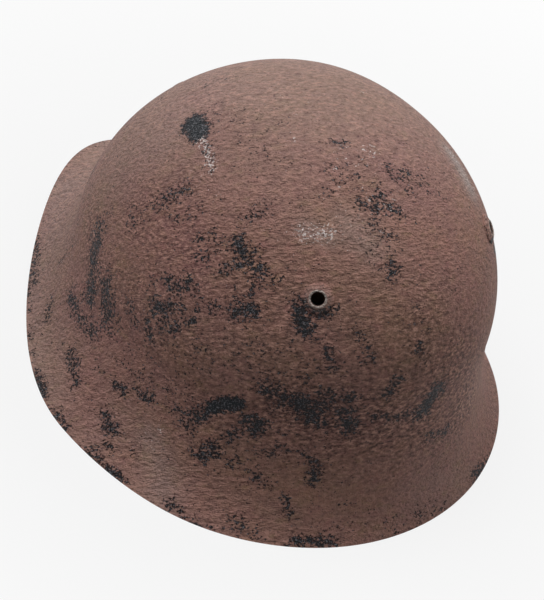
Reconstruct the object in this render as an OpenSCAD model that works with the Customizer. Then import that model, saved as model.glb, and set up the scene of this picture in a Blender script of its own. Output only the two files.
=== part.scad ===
// Flared one-piece steel helmet with three hollow vent rivets, a steel-band liner and a chinstrap.
// Millimetres. +Z is up, the visor faces -Y, the wearer's left is +X.
// The origin lies under the middle of the overall box, in the plane that the rim rests on.

/* [Shell] */
// Width over the rim at the sides
rim_w = 242.2; // [236:0.2:250]
// Length over the rim, visor tip to neck tip
rim_len = 277.4; // [270:0.2:288]
// Height over the crown
shell_h = 164.9; // [160:0.1:176]
// Thickness of the pressed sheet
shell_t = 1.2; // [1:0.1:1.5]
// Width of the bowl where it meets the flared skirt
bowl_w = 191.4; // [187:0.2:198]
// Length of the bowl where it meets the flared skirt
bowl_len = 219.9; // [214:0.2:228]
// Height of that meeting line at the front
fold_front = 75.4; // [70:0.2:80]
// Height of that meeting line at the sides
fold_side = 53.6; // [48:0.2:58]
// Height of that meeting line at the rear
fold_rear = 48.7; // [44:0.2:54]
// Lift of the rim at the rear
rear_lift = 19.1; // [12:0.1:24]

/* [Vents] */
// Direction of the two front vents, from straight ahead
vent_angle = 44.2; // [38:0.2:50]
// Height of the two front vents
vent_z = 123.9; // [118:0.1:128]
// Height of the rear vent
rear_vent_z = 97; // [96:0.5:106]
// Air hole through each hollow rivet
air_d = 6.7; // [5:0.1:7.5]
// Outside of the rivet's barrel
barrel_d = 8.6; // [8.2:0.1:9.6]
// Outside of the rivet's flange
flange_d = 14.8; // [13:0.1:17]
// How far the crest ring stands above the flange's seat
crest_h = 1.9; // [1.2:0.1:2.6]
// Length of the spacer bush between shell and hanger
bush_len = 3; // [2:0.1:3.6]
// Outside of the spacer bush and of the washer
bush_d = 12; // [11:0.1:13.5]
// Thickness of the washer under the clenched end
washer_t = 0.8; // [0.6:0.1:1.2]

/* [Liner] */
// Air gap between the shell and the liner band
band_gap = 7; // [6:0.1:8.5]
// Height of the liner band's lower edge above the rim
band_z = 66; // [64:0.5:69]
// Width of the liner band
band_h = 18; // [16:0.5:20]
// Thickness of the liner band
band_t = 0.8; // [0.6:0.1:1.2]
// Width of the three hanger strips
hanger_w = 16; // [13:0.5:19]
// Thickness of the three hanger strips
hanger_t = 1.2; // [1:0.1:1.5]
// Thickness of the felt strip
felt_t = 3; // [2:0.1:4]
// Thickness of the liner leather
leather_t = 1.6; // [1.2:0.1:2]
// Height of the leather crown
crown_z = 140; // [134:0.5:144]
// Radius of the opening in the leather crown
crown_r = 18; // [14:0.5:21]
// Width of the slits between the tongues
slit_w = 3; // [2:0.1:5]
// Lace hole near the tip of each tongue
lace_d = 4; // [3:0.1:5]

/* [Chinstrap] */
// Width of the strap leather
strap_w = 16; // [14:0.5:18]
// Thickness of the strap leather
strap_t = 1.8; // [1.5:0.1:2]
// Drop from the swivel's stud to the middle of its lower bar
swivel_drop = 26; // [24:0.5:28]
// Stud that each swivel turns on
stud_d = 4; // [3.5:0.1:5]
// Radius of the strap's bend towards the chin
strap_bend = 26; // [22:0.5:28]
// Wire of the buckle frame
wire_d = 2.4; // [2:0.1:2.8]
// Wire of the buckle's prong
prong_d = 2; // [1.6:0.1:2.2]
// Inside length of the buckle frame
buckle_len = 14.6; // [14:0.1:18]
// Buckle's hinge bar, from the middle towards the left cheek
buckle_x = 18; // [12:0.5:20]
// Height of the buckle's hinge bar above the resting plane
buckle_z = 6.2; // [6:0.1:8]
// Length of the strap's tail past the hinge bar
tail_len = 32; // [28:0.5:36]

/* [Hidden] */

// Fits and small gaps
seat_gap = 0.5;     // a flat piece against the curved sheet
stack_gap = 0.05;   // between flat pieces that are clamped together
ply_gap = 0.15;     // between band, felt and leather
turn_gap = 0.05;    // radial, a hinge on its pin
side_gap = 0.3;     // beside a moving piece
$fn = 48;

// Shares of the bowl and skirt in front of and behind the widest line
bowl_f = 0.4816;
skirt_f = 0.4759;
fold_y = 1.2;        // widest line of the fold, before centring
rim_y0 = 7.7;        // widest line of the rim, before centring
crown_y0 = -10;      // crown point, before centring
rim_f = rim_len * skirt_f;
rim_r = rim_len - rim_f;
bowl_fr = bowl_len * bowl_f;
bowl_re = bowl_len - bowl_fr;
// the box is centred front to back
mid_y = rim_y0 + (rim_r - rim_f) / 2;
jy = fold_y - mid_y;
ry = rim_y0 - mid_y;
cy = crown_y0 - mid_y;

// Fullness of the bowl, taper of the plan outlines, sweep of the skirt
full_f = 2.003; full_s = 2.066; full_r = 2.031;
fold_tf = 0.015; fold_tr = -0.052;
rim_tf = -0.024; rim_tr = 0.236;
out_f = 0.22; out_s = 0.3; out_r = 0.22;
down_f = 0.75; down_s = 0.88; down_r = 0.65;
lift_from = 0.377; lift_p = 1.814;

function mix3(t, f, s, r) = s + ((cos(t) > 0 ? f : r) - s) * pow(cos(t), 2);
function plan(t, b, af, ar, y0, kf, kr) = let (c = cos(t), s = sin(t), k = c > 0 ? kf : kr)
  [b * s * (1 - k * c * c), y0 - (c > 0 ? af : ar) * c * (1 - k * s * s)];
// signed angle from the front, in radians
function turn(t) = let (a = t % 360) (a > 180 ? a - 360 : a < -180 ? a + 360 : a) * PI / 180;
function bulge(t) = let (a = abs(turn(t)))
  1.21 * exp(-pow((a - 1) / 0.3, 2)) + 2.23 * exp(-pow((a - 2.3) / 0.4, 2));
function fold(t) = let (p = plan(t, bowl_w / 2, bowl_fr, bowl_re, jy, fold_tf, fold_tr))
  [p.x, p.y, mix3(t, fold_front, fold_side, fold_rear)];
function rim_z(t) = let (c = -cos(t))
  c > lift_from ? rear_lift * pow((c - lift_from) / (1 - lift_from), lift_p) : 0;
function rim(t) = let (p = plan(t, rim_w / 2, rim_f, rim_r, ry, rim_tf, rim_tr), b = bulge(t))
  [p.x + b * sin(t), p.y - b * cos(t), rim_z(t)];
// bowl point from its own latitude, 0 at the crown and 90 at the fold
function bowl(t, a) = let (j = fold(t), m = mix3(t, full_f, full_s, full_r),
    r = pow(max(0, sin(a)), 2 / m), h = pow(max(0, cos(a)), 2 / m))
  [j.x * r, cy + (j.y - cy) * r, j.z + (shell_h - j.z) * h];
// bowl point at a height
function bowl_at(t, z) = let (j = fold(t), m = mix3(t, full_f, full_s, full_r))
  bowl(t, acos(pow(max(0, z - j.z) / (shell_h - j.z), m / 2)));
// skirt point, 0 at the fold and 1 at the rim
function skirt(t, u) = let (j = fold(t), e = rim(t), o = mix3(t, out_f, out_s, out_r),
    d = mix3(t, down_f, down_s, down_r),
    k = [j.x + o * (e.x - j.x), j.y + o * (e.y - j.y), j.z + d * (e.z - j.z)])
  (1 - u) * (1 - u) * j + 2 * u * (1 - u) * k + u * u * e;
// whole outer skin, v from 0 at the crown over 1 at the fold to 2 at the rim
function skin(t, v) = v <= 1 ? bowl(t, 90 * v) : skirt(t, v - 1);
function unit(a) = a / norm(a);
function skin_n(t, v) = v < 0.01 ? [0, 0, 1] :
  unit(cross(skin(t + 0.2, v) - skin(t - 0.2, v), skin(t, v - 0.01) - skin(t, min(2, v + 0.01))));
// normal of the bowl at a height
function bowl_n(t, z) =
  unit(cross(bowl_at(t + 0.2, z) - bowl_at(t - 0.2, z), bowl_at(t, z + 0.1) - bowl_at(t, z - 0.1)));
function flat(p) = [p.x, p.y];

cols = 60;
rings_bowl = 14;
rings_skirt = 8;
rings = rings_bowl + rings_skirt;
rim_face = 2;        // widest flat of the rim's edge

function ring_v(i) = i <= rings_bowl ? i / rings_bowl : 1 + (i - rings_bowl) / rings_skirt;
// the inner skin lies one sheet thickness inside; at the rim it stays level
function inner_pt(t, i) = let (v = ring_v(i), p = skin(t, v), n = skin_n(t, v))
  i < rings ? p - shell_t * n :
  let (h = norm(flat(n))) p - min(shell_t / h, rim_face) * [n.x / h, n.y / h, 0];

module shell_skin() {
  m = 1 + rings * cols;
  pts = concat([[0, cy, shell_h]],
    [for (i = [1 : rings], j = [0 : cols - 1]) skin(j * 360 / cols, ring_v(i))],
    [[0, cy, shell_h - shell_t]],
    [for (i = [1 : rings], j = [0 : cols - 1]) inner_pt(j * 360 / cols, i)]);
  function at(i, j) = 1 + (i - 1) * cols + j % cols;
  polyhedron(pts, concat(
    [for (j = [0 : cols - 1]) [0, at(1, j + 1), at(1, j)]],
    [for (i = [1 : rings - 1], j = [0 : cols - 1]) [at(i, j), at(i, j + 1), at(i + 1, j + 1)]],
    [for (i = [1 : rings - 1], j = [0 : cols - 1]) [at(i, j), at(i + 1, j + 1), at(i + 1, j)]],
    [for (j = [0 : cols - 1]) [m, m + at(1, j), m + at(1, j + 1)]],
    [for (i = [1 : rings - 1], j = [0 : cols - 1])
      [m + at(i, j), m + at(i + 1, j + 1), m + at(i, j + 1)]],
    [for (i = [1 : rings - 1], j = [0 : cols - 1])
      [m + at(i, j), m + at(i + 1, j), m + at(i + 1, j + 1)]],
    [for (j = [0 : cols - 1]) [at(rings, j), at(rings, j + 1), m + at(rings, j + 1)]],
    [for (j = [0 : cols - 1]) [at(rings, j), m + at(rings, j + 1), m + at(rings, j)]]),
    convexity = 6);
}

// Stack under a vent, along the skin's normal, 0 at the outer skin and negative inwards
bush_top = -(shell_t + seat_gap);
hanger_top = bush_top - bush_len - stack_gap;
washer_top = hanger_top - hanger_t - stack_gap;
roll_top = washer_top - washer_t - stack_gap;
roll_h = 0.8;
roll_d = 11.6;
vent_fit = 0.05;     // radial, barrel in its holes

vents = [[-vent_angle, vent_z], [vent_angle, vent_z], [180, rear_vent_z]];
function vent_p(k) = bowl_at(vents[k].x, vents[k].y);
function vent_n(k) = bowl_n(vents[k].x, vents[k].y);

// places its children on vent k with +Z along the outward normal
module at_vent(k) {
  n = vent_n(k);
  translate(vent_p(k)) rotate([0, acos(n.z), atan2(n.y, n.x)]) children();
}

module shell() {
  color("#6f5648") difference() {
    shell_skin();
    for (k = [0 : 2]) at_vent(k)
      translate([0, 0, -4]) cylinder(d = barrel_d + 2 * vent_fit, h = 8);
  }
}

// hollow rivet: conical flange with a crest ring outside, barrel, clenched roll inside
module vent_rivet(k) {
  a = air_d / 2; b = barrel_d / 2; f = flange_d / 2; s = stack_gap;
  color("#4c443f") at_vent(k) rotate_extrude($fn = 64) polygon([
    [a, roll_top - roll_h], [roll_d / 2 - 0.3, roll_top - roll_h], [roll_d / 2, roll_top - 0.5],
    [roll_d / 2, roll_top], [b, roll_top], [b, s], [f, s], [f, s + 0.45],
    [b + 0.75, s + crest_h - 0.45], [b + 0.35, s + crest_h - 0.05], [b - 0.1, s + crest_h],
    [a + 0.35, s + crest_h - 0.1], [a, s + crest_h - 0.5]]);
}

module spacer_bushes() {
  color("#8b8d8c") for (k = [0 : 2]) at_vent(k) difference() {
    translate([0, 0, bush_top - bush_len]) cylinder(d = bush_d, h = bush_len);
    translate([0, 0, bush_top - bush_len - 1])
      cylinder(d = barrel_d + 2 * vent_fit, h = bush_len + 2);
  }
}

module rivet_washers() {
  color("#a3a5a4") for (k = [0 : 2]) at_vent(k) difference() {
    translate([0, 0, washer_top - washer_t]) cylinder(d = bush_d, h = washer_t);
    translate([0, 0, washer_top - washer_t - 1])
      cylinder(d = barrel_d + 2 * vent_fit, h = washer_t + 2);
  }
}

// Liner outlines: all run parallel to the bowl's ring at the band's middle height
band_mid = band_z + band_h / 2;
band_out = shell_t + band_gap;
band_in = band_out + band_t;
felt_out = band_in + ply_gap;
felt_in = felt_out + felt_t;
hide_out = felt_in + ply_gap;
hide_in = hide_out + leather_t;
sides = 72;

function ring_n(t) = let (a = bowl_at(t + 0.2, band_mid), b = bowl_at(t - 0.2, band_mid))
  unit([a.y - b.y, b.x - a.x]);
function ring_p(t, d) = flat(bowl_at(t, band_mid)) - d * ring_n(t);
function ring_az(t) = atan2(ring_n(t).y, ring_n(t).x);
function outline(d, a = 0, b = 360, n = sides) = [for (i = [0 : n]) ring_p(a + (b - a) * i / n, d)];
function loop(d) = [for (i = [0 : sides - 1]) ring_p(i * 360 / sides, d)];

module hoop(d_out, d_in, h) {
  difference() {
    linear_extrude(h) polygon(loop(d_out));
    translate([0, 0, -1]) linear_extrude(h + 2) polygon(loop(d_in));
  }
}

// +Z points outwards from the ring at angle t and height z; 0 is d inside the bowl's ring
module on_ring(t, z, d) {
  p = ring_p(t, d);
  translate([p.x, p.y, z]) rotate([0, 90, ring_az(t)]) children();
}

// Hangers: a bent strip in the upright plane of its vent's normal
function side_of(t, k) = let (q = ring_p(t, band_out) - flat(vent_p(k)), n = vent_n(k))
  q.x * n.y - q.y * n.x;
function meet(k, a, b, i = 24) = let (c = (a + b) / 2)
  i == 0 ? c : side_of(a, k) * side_of(c, k) <= 0 ? meet(k, a, c, i - 1) : meet(k, c, b, i - 1);
function hang_t(k) = meet(k, vents[k].x - 25, vents[k].x + 25);
hang_gap = 0.3;
// distance from the vent, along the plane, to the strip's inner face
function hang_r(k) = norm(ring_p(hang_t(k), band_out) - flat(vent_p(k))) + hang_gap;
pad_half = 8.4;      // half length of the strip's pad under the vent
function hang_path(k) = let (p = vent_p(k), n = vent_n(k), h = norm(flat(n)),
    d = hanger_top - hanger_t / 2, r = hang_r(k) + hanger_t / 2)
  [for (u = [-pad_half, pad_half]) [d * h + u * n.z, p.z + d * n.z - u * h]];
function hang_line(k) = let (r = hang_r(k) + hanger_t / 2)
  concat(hang_path(k), [[r, band_z + band_h + 1.2], [r, band_z + 1]]);

// outline of a strip of thickness w along a line of points, with mitred bends
function way(p, i) = unit(p[min(i + 1, len(p) - 1)] - p[min(i, len(p) - 2)]);
function back(p, i) = unit(p[max(i, 1)] - p[max(i, 1) - 1]);
function shift(p, i, w) = let (a = back(p, i), b = way(p, i), m = unit([-a.y - b.y, a.x + b.x]))
  p[i] + w * m / (m * [-a.y, a.x]);
function strip(p, w) = concat([for (i = [0 : len(p) - 1]) shift(p, i, w / 2)],
  [for (i = [len(p) - 1 : -1 : 0]) shift(p, i, -w / 2)]);

// stands the children's XY profile upright: X runs outwards from vent k, Y becomes Z
module in_plane(k) {
  p = vent_p(k); n = vent_n(k);
  translate([p.x, p.y, 0]) rotate([0, 0, atan2(n.y, n.x)]) rotate([90, 0, 0]) children();
}

rivet_d = 3;
rivet_fit = 0.05;
hang_rivet_z = [band_z + 4.5, band_z + band_h - 4.5];
// axis of a hanger rivet: +Z outwards, 0 at the strip's outer face
module at_hang_rivet(k, z) {
  p = vent_p(k); n = vent_n(k); a = atan2(n.y, n.x); r = hang_r(k) + hanger_t;
  translate([p.x + r * cos(a), p.y + r * sin(a), z]) rotate([0, 90, a]) children();
}

module hanger(k) {
  color("#7c7f80") difference() {
    in_plane(k) linear_extrude(hanger_w, center = true) polygon(strip(hang_line(k), hanger_t));
    at_vent(k) translate([0, 0, washer_top - 2]) cylinder(d = barrel_d + 2 * vent_fit, h = 6);
    for (z = hang_rivet_z) at_hang_rivet(k, z)
      translate([0, 0, -hanger_t - 1]) cylinder(d = rivet_d + 2 * rivet_fit, h = hanger_t + 2);
  }
}

// low round head, its seat at 0
module head(d, h) { rotate_extrude() polygon([[0, 0], [d / 2, 0], [d / 2, h * 0.35],
  [d / 2 * 0.8, h * 0.8], [d / 2 * 0.5, h], [0, h]]); }

// heads outside, tails set flush in the band's inner face
module hanger_rivets() {
  len_in = hanger_t + hang_gap + band_t;
  color("#9b9c9a") for (k = [0 : 2], z = hang_rivet_z) at_hang_rivet(k, z) {
    translate([0, 0, stack_gap]) head(6, 1.1);
    translate([0, 0, -len_in]) cylinder(d = rivet_d, h = len_in + stack_gap + 0.2);
  }
}

// Positions round the ring
stud_t = [0, 24, 66, 112, 154, -24, -66, -112, -154];
plate_t = [122, 142];
plate_rivet_t = [125, 130, 134, 139];
rivet_low = band_z + 4;

module band_holes() {
  for (k = [0 : 2], z = hang_rivet_z) at_hang_rivet(k, z)
    translate([0, 0, -8]) cylinder(d = rivet_d + 2 * rivet_fit, h = 9);
  for (t = stud_t) on_ring(t, rivet_low, band_out)
    translate([0, 0, -2]) cylinder(d = rivet_d + 2 * rivet_fit, h = 4);
  for (t = plate_rivet_t) on_ring(t, band_mid, band_out)
    translate([0, 0, -2]) cylinder(d = rivet_d + 2 * rivet_fit, h = 4);
  for (t = [90, -90]) on_ring(t, stud_z, band_out)
    translate([0, 0, -2]) cylinder(d = stud_d + 2 * rivet_fit, h = 4);
}

module liner_band() {
  color("#8f9190") difference() {
    translate([0, 0, band_z]) hoop(band_out, band_in, band_h);
    band_holes();
  }
}

// joint cover of the band, on its outer face at the left rear
module band_joint_plate() {
  d = band_out - ply_gap;
  color("#84878a") difference() {
    translate([0, 0, band_z + 1.5]) linear_extrude(band_h - 3)
      polygon(concat(outline(d - band_t, plate_t[0], plate_t[1], 8),
        [for (i = [8 : -1 : 0]) ring_p(plate_t[0] + (plate_t[1] - plate_t[0]) * i / 8, d)]));
    for (t = plate_rivet_t) on_ring(t, band_mid, band_out)
      translate([0, 0, -1]) cylinder(d = rivet_d + 2 * rivet_fit, h = 4);
  }
}

module band_joint_rivets() {
  d = band_out - ply_gap - band_t;
  color("#9b9c9a") for (t = plate_rivet_t) on_ring(t, band_mid, d) {
    translate([0, 0, stack_gap]) head(5, 0.9);
    translate([0, 0, -2 * band_t - ply_gap])
      cylinder(d = rivet_d, h = 2 * band_t + ply_gap + stack_gap + 0.2);
  }
}

module felt_strip() {
  color("#77756c") difference() {
    translate([0, 0, band_z + 1]) hoop(felt_out, felt_in, band_h - 2);
    for (t = stud_t) on_ring(t, rivet_low, felt_out)
      translate([0, 0, -felt_t - 1]) cylinder(d = rivet_d + 0.5, h = felt_t + 2);
  }
}

// Leather: an upright sweatband that closes over the head in eight tongues
hide_low = band_z - 1;
hide_bend = band_z + 10;
hide_p = 1.8;
hide_cols = 48;
hide_rings = 8;
hide_cy = ring_p(90, 0).y;
hide_half = ring_p(90, hide_out).x;
// horizontal share of ring i, from 1 at the bend to the crown opening
function hide_q(i) = let (e = crown_r / hide_half, a = 90 * i / hide_rings)
  e + (1 - e) * cos(a);
function hide_pt(j, i, dd, drop) = let (t = j * 360 / hide_cols, p = ring_p(t, hide_out + dd),
    q = i < 0 ? 1 : hide_q(i))
  [p.x * q, hide_cy + (p.y - hide_cy) * q, i < 0 ? hide_low :
    hide_bend + (crown_z - drop - hide_bend) * pow(max(0, 1 - pow(q, hide_p)), 1 / hide_p)];

module hide_skin() {
  n = hide_rings + 2;
  pts = concat(
    [for (i = [-1 : hide_rings], j = [0 : hide_cols - 1]) hide_pt(j, i, 0, 0)],
    [for (i = [hide_rings : -1 : -1], j = [0 : hide_cols - 1]) hide_pt(j, i, leather_t, leather_t)]);
  function at(i, j) = (i % (2 * n)) * hide_cols + j % hide_cols;
  polyhedron(pts, concat(
    [for (i = [0 : 2 * n - 1], j = [0 : hide_cols - 1]) [at(i + 1, j), at(i + 1, j + 1), at(i, j + 1)]],
    [for (i = [0 : 2 * n - 1], j = [0 : hide_cols - 1]) [at(i + 1, j), at(i, j + 1), at(i, j)]]),
    convexity = 8);
}

tongues = 8;
slit_r = hide_half - 6;
module leather_liner() {
  color("#7a5230") difference() {
    hide_skin();
    for (i = [0 : tongues - 1]) translate([0, hide_cy, hide_bend])
      rotate([0, 0, (i + 0.5) * 360 / tongues]) {
        translate([crown_r - 6, -slit_w / 2, 0]) cube([slit_r - crown_r + 6, slit_w, 90]);
        rotate([0, 0, 180 / tongues])
          translate([crown_r + 9, 0, 20]) cylinder(d = lace_d, h = 60);
      }
    for (t = stud_t) on_ring(t, rivet_low, hide_out)
      translate([0, 0, -leather_t - 2]) cylinder(d = rivet_d + 2 * rivet_fit, h = leather_t + 4);
  }
}

// leather to band: domed head inside, small clench head outside
module liner_rivets() {
  through = band_t + felt_t + leather_t + 2 * ply_gap;
  color("#8d8a80") for (t = stud_t) on_ring(t, rivet_low, band_out) {
    translate([0, 0, stack_gap]) head(4.6, 0.8);
    translate([0, 0, -through - 0.5 - stack_gap]) cylinder(d = rivet_d, h = through + 0.9);
    translate([0, 0, -through - stack_gap - 0.3]) mirror([0, 0, 1]) head(7, 1.2);
  }
}

// Chinstrap: two swivels turn on studs at the band's sides, on one line along X
stud_z = band_z + 6;
swivel_t = 1.2;
swivel_x = ring_p(90, band_out).x + side_gap + 0.2;   // inner face of the left swivel
swing_y = ring_p(90, band_out).y;
bar_x = swivel_x + swivel_t / 2;
bar_z = stud_z - swivel_drop;
bar_h = 4;

module swivel_studs() {
  head_x = swivel_x + swivel_t + side_gap;
  in_x = ring_p(90, band_in).x;
  color("#9b9c9a") for (m = [0, 1]) mirror([m, 0, 0])
    translate([in_x, swing_y, stud_z]) rotate([0, 90, 0]) {
      cylinder(d = stud_d, h = head_x - in_x + 0.3);
      translate([0, 0, head_x - in_x]) head(stud_d + 4, 1.5);
    }
}

// stamped loop: eye on the stud, slot and lower bar for the strap
module swivel_plate() {
  w = strap_w / 2 + 0.5; o = w + 2.6; lo = -swivel_drop - bar_h / 2;
  difference() {
    translate([swivel_x, swing_y, stud_z]) rotate([90, 0, 90]) linear_extrude(swivel_t) union() {
      circle(d = stud_d + 7);
      polygon([[-stud_d / 2 - 3.4, 0], [-o, lo + 7.5], [-o, lo + 1.5], [-o + 1.5, lo], [o - 1.5, lo],
        [o, lo + 1.5], [o, lo + 7.5], [stud_d / 2 + 3.4, 0]]);
    }
    translate([swivel_x - 1, swing_y - w, bar_z + bar_h / 2])
      cube([swivel_t + 2, 2 * w, strap_t + 1.8]);
    translate([swivel_x - 1, swing_y, stud_z]) rotate([0, 90, 0])
      cylinder(d = stud_d + 2 * turn_gap, h = swivel_t + 2);
  }
}
module swivel_left() { color("#84878a") swivel_plate(); }
module swivel_right() { color("#84878a") mirror([1, 0, 0]) swivel_plate(); }

// stands an XZ profile across the strap's width
module across(w) { translate([0, swing_y + w / 2, 0]) rotate([90, 0, 0]) linear_extrude(w) children(); }

// Strap runs; the doubled leather is two plies with the turned end sewn down
ply = strap_t + 0.05;
fork = 9;            // where the two plies come together below a bar
double = 14;         // where the turned end stops
eye_gap = 0.25;
bar_r = sqrt(pow(swivel_t / 2, 2) + pow(bar_h / 2 - 1.4, 2)) + 0.1;
function bend(x, z, r, n = 10) = [for (i = [0 : n]) [x - r * (1 - cos(90 * i / n)), z - r * sin(90 * i / n)]];

// eye round a swivel's bar, with the doubled leather below it
module bar_eye() {
  o = bar_r + strap_t;
  difference() {
    across(strap_w) translate([bar_x, bar_z]) union() {
      translate([0, 1.4]) circle(r = o);
      polygon([[-o, 1.4], [o, 1.4], [o, -1.4], [ply, -fork], [ply, -double], [-ply, -double],
        [-ply, -fork], [-o, -1.4]]);
    }
    across(strap_w + 2) translate([bar_x, bar_z]) union() {
      translate([0, 1.4]) circle(r = bar_r);
      polygon([[-bar_r, 1.4], [bar_r, 1.4], [bar_r, -2.2], [0.05, -fork + 1.5],
        [-0.05, -fork + 1.5], [-bar_r, -2.2]]);
    }
  }
}

left_z = buckle_z - ply / 2 - 0.02;
right_z = buckle_z - wire_d / 2 - strap_t / 2 - ply_gap;
main_x = bar_x + ply / 2 + 0.02;
eye_r = wire_d / 2 + eye_gap;

module strap_rivet_holes(m) {
  translate([bar_x - 5, swing_y, bar_z - 11.5]) rotate([0, 90, 0])
    cylinder(d = rivet_d + 2 * rivet_fit, h = 10);
}

module strap_left() {
  o = eye_r + strap_t;
  color("#5d3b22") difference() {
    union() {
      bar_eye();
      across(strap_w) polygon(strip(concat([[main_x, bar_z - fork]],
        bend(main_x, left_z + strap_bend, strap_bend), [[buckle_x + fork, left_z]]), strap_t));
      across(strap_w) translate([buckle_x, buckle_z]) union() {
        circle(r = o);
        polygon([[0, o], [fork, ply], [fork + 7, ply], [fork + 7, -ply], [fork, -ply], [0, -o]]);
      }
    }
    across(strap_w + 2) translate([buckle_x, buckle_z]) union() {
      circle(r = eye_r);
      polygon([[0, eye_r], [fork - 1.5, 0.05], [fork - 1.5, -0.05], [0, -eye_r]]);
    }
    // room for the prong's own eye
    translate([buckle_x - o - 1, swing_y - 1.9, buckle_z - o - 1]) cube([o + 1 + 3.3, 3.8, 2 * o + 2]);
    strap_rivet_holes();
    translate([buckle_x + fork + 3.5, swing_y, buckle_z - 6])
      cylinder(d = rivet_d + 2 * rivet_fit, h = 12);
  }
}

// The long strap passes under the frame's far bar, over the hinge bar and ends in a tail
top_z = buckle_z + eye_r + 2 * strap_t - strap_t / 2 + 0.2;
far_x = buckle_x - buckle_len - wire_d;
rise_a = far_x + 1.5;
rise_b = buckle_x - 2.5;
function ease(u) = u * u * (3 - 2 * u);
function rise(n = 10) = [for (i = [0 : n])
  [rise_a + (rise_b - rise_a) * i / n, right_z + (top_z - right_z) * ease(i / n)]];
hole_x = buckle_x - 7.6;
hole_step = 12;

module strap_right() {
  tip = buckle_x + tail_len;
  start = bend(main_x, right_z + strap_bend, strap_bend);
  color("#5d3b22") difference() {
    union() {
      mirror([1, 0, 0]) bar_eye();
      across(strap_w) polygon(strip(concat([[-main_x, bar_z - fork]],
        [for (p = start) [-p.x, p.y]], rise(), [[tip, top_z]]), strap_t));
    }
    // slot that the prong is in, and the spare holes
    translate([hole_x - 4.4, swing_y - 1.7, buckle_z - 6]) cube([8.8, 3.4, 14]);
    for (i = [1 : 4]) translate([far_x - 4 - hole_step * (i - 1), swing_y, 0])
      cylinder(d = 3.2, h = buckle_z + 6);
    translate([buckle_x + 12, swing_y, top_z - 4]) cylinder(d = 3.2, h = 8);
    // pointed tail
    for (m = [0, 1]) translate([tip, swing_y, top_z - 5]) mirror([0, m, 0]) rotate([0, 0, 45])
      translate([-1, 2, 0]) cube([30, 30, 10]);
    mirror([1, 0, 0]) strap_rivet_holes();
  }
}

module strap_rivets() {
  color("#9b9c9a") {
    for (m = [0, 1]) mirror([m, 0, 0]) translate([bar_x, swing_y, bar_z - 11.5]) rotate([0, 90, 0]) {
      translate([0, 0, -ply - 0.2]) cylinder(d = rivet_d, h = 2 * ply + 0.4);
      translate([0, 0, ply + stack_gap]) head(5.6, 1);
      translate([0, 0, -ply - stack_gap]) mirror([0, 0, 1]) head(5.6, 1);
    }
    translate([buckle_x + fork + 3.5, swing_y, buckle_z]) {
      translate([0, 0, -ply - 0.2]) cylinder(d = rivet_d, h = 2 * ply + 0.4);
      translate([0, 0, ply + stack_gap]) head(5.6, 1);
      translate([0, 0, -ply - stack_gap]) mirror([0, 0, 1]) head(5.6, 1);
    }
  }
}

// wire frame: hinge bar, far bar and two sides with round corners
module buckle_frame() {
  half = strap_w / 2 + 0.6 + wire_d / 2;
  color("#8d8f90") translate([0, swing_y, buckle_z]) {
    for (x = [buckle_x, far_x]) translate([x, -half, 0]) rotate([-90, 0, 0])
      cylinder(d = wire_d, h = 2 * half);
    for (y = [-half, half]) translate([far_x, y, 0]) rotate([0, 90, 0])
      cylinder(d = wire_d, h = buckle_x - far_x);
    for (x = [buckle_x, far_x], y = [-half, half]) translate([x, y, 0]) sphere(d = wire_d);
  }
}

module buckle_prong() {
  bore = wire_d / 2 + turn_gap;
  rest = wire_d / 2 + prong_d / 2 + 0.1;
  low = bore + 0.2;
  run = buckle_x - far_x;
  color("#a7a9a8") translate([buckle_x, swing_y, buckle_z]) difference() {
    union() {
      rotate([90, 0, 0]) translate([0, 0, -1.5]) cylinder(r = bore + 1.2, h = 3);
      translate([0, 0, low]) rotate([0, -90 + atan2(rest - low, run), 0])
        cylinder(d = prong_d, h = run + 2);
    }
    rotate([90, 0, 0]) translate([0, 0, -3]) cylinder(r = bore, h = 6);
  }
}

// leather loop that holds the tail down; it slides along both straps
keeper_w = 6;
keeper_x = buckle_x + 20.5;
module strap_keeper() {
  z0 = left_z - strap_t / 2 - side_gap;
  z1 = top_z + strap_t / 2 + side_gap;
  y = strap_w / 2 + side_gap; w = 1.5;
  color("#53341e") translate([keeper_x, swing_y, 0]) difference() {
    translate([0, -y - w, z0 - w]) cube([keeper_w, 2 * (y + w), z1 - z0 + 2 * w]);
    translate([-1, -y, z0]) cube([keeper_w + 2, 2 * y, z1 - z0]);
  }
}

shell();
vent_rivet(0);  // vent_rivet_right
vent_rivet(1);  // vent_rivet_left
vent_rivet(2);  // vent_rivet_rear
spacer_bushes();
rivet_washers();
mirror([1, 0, 0]) hanger(1);  // hanger_right
hanger(1);  // hanger_left
hanger(2);  // hanger_rear
hanger_rivets();
liner_band();
band_joint_plate();
band_joint_rivets();
felt_strip();
leather_liner();
liner_rivets();
swivel_studs();
swivel_left();
swivel_right();
strap_left();
strap_right();
strap_rivets();
buckle_frame();
buckle_prong();
strap_keeper();
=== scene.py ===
from math import acos, atan2, cos, exp, pi, radians, sin, sqrt
from random import Random

import bmesh
import bpy
from mathutils import Matrix, Vector
from mathutils.bvhtree import BVHTree


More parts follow.
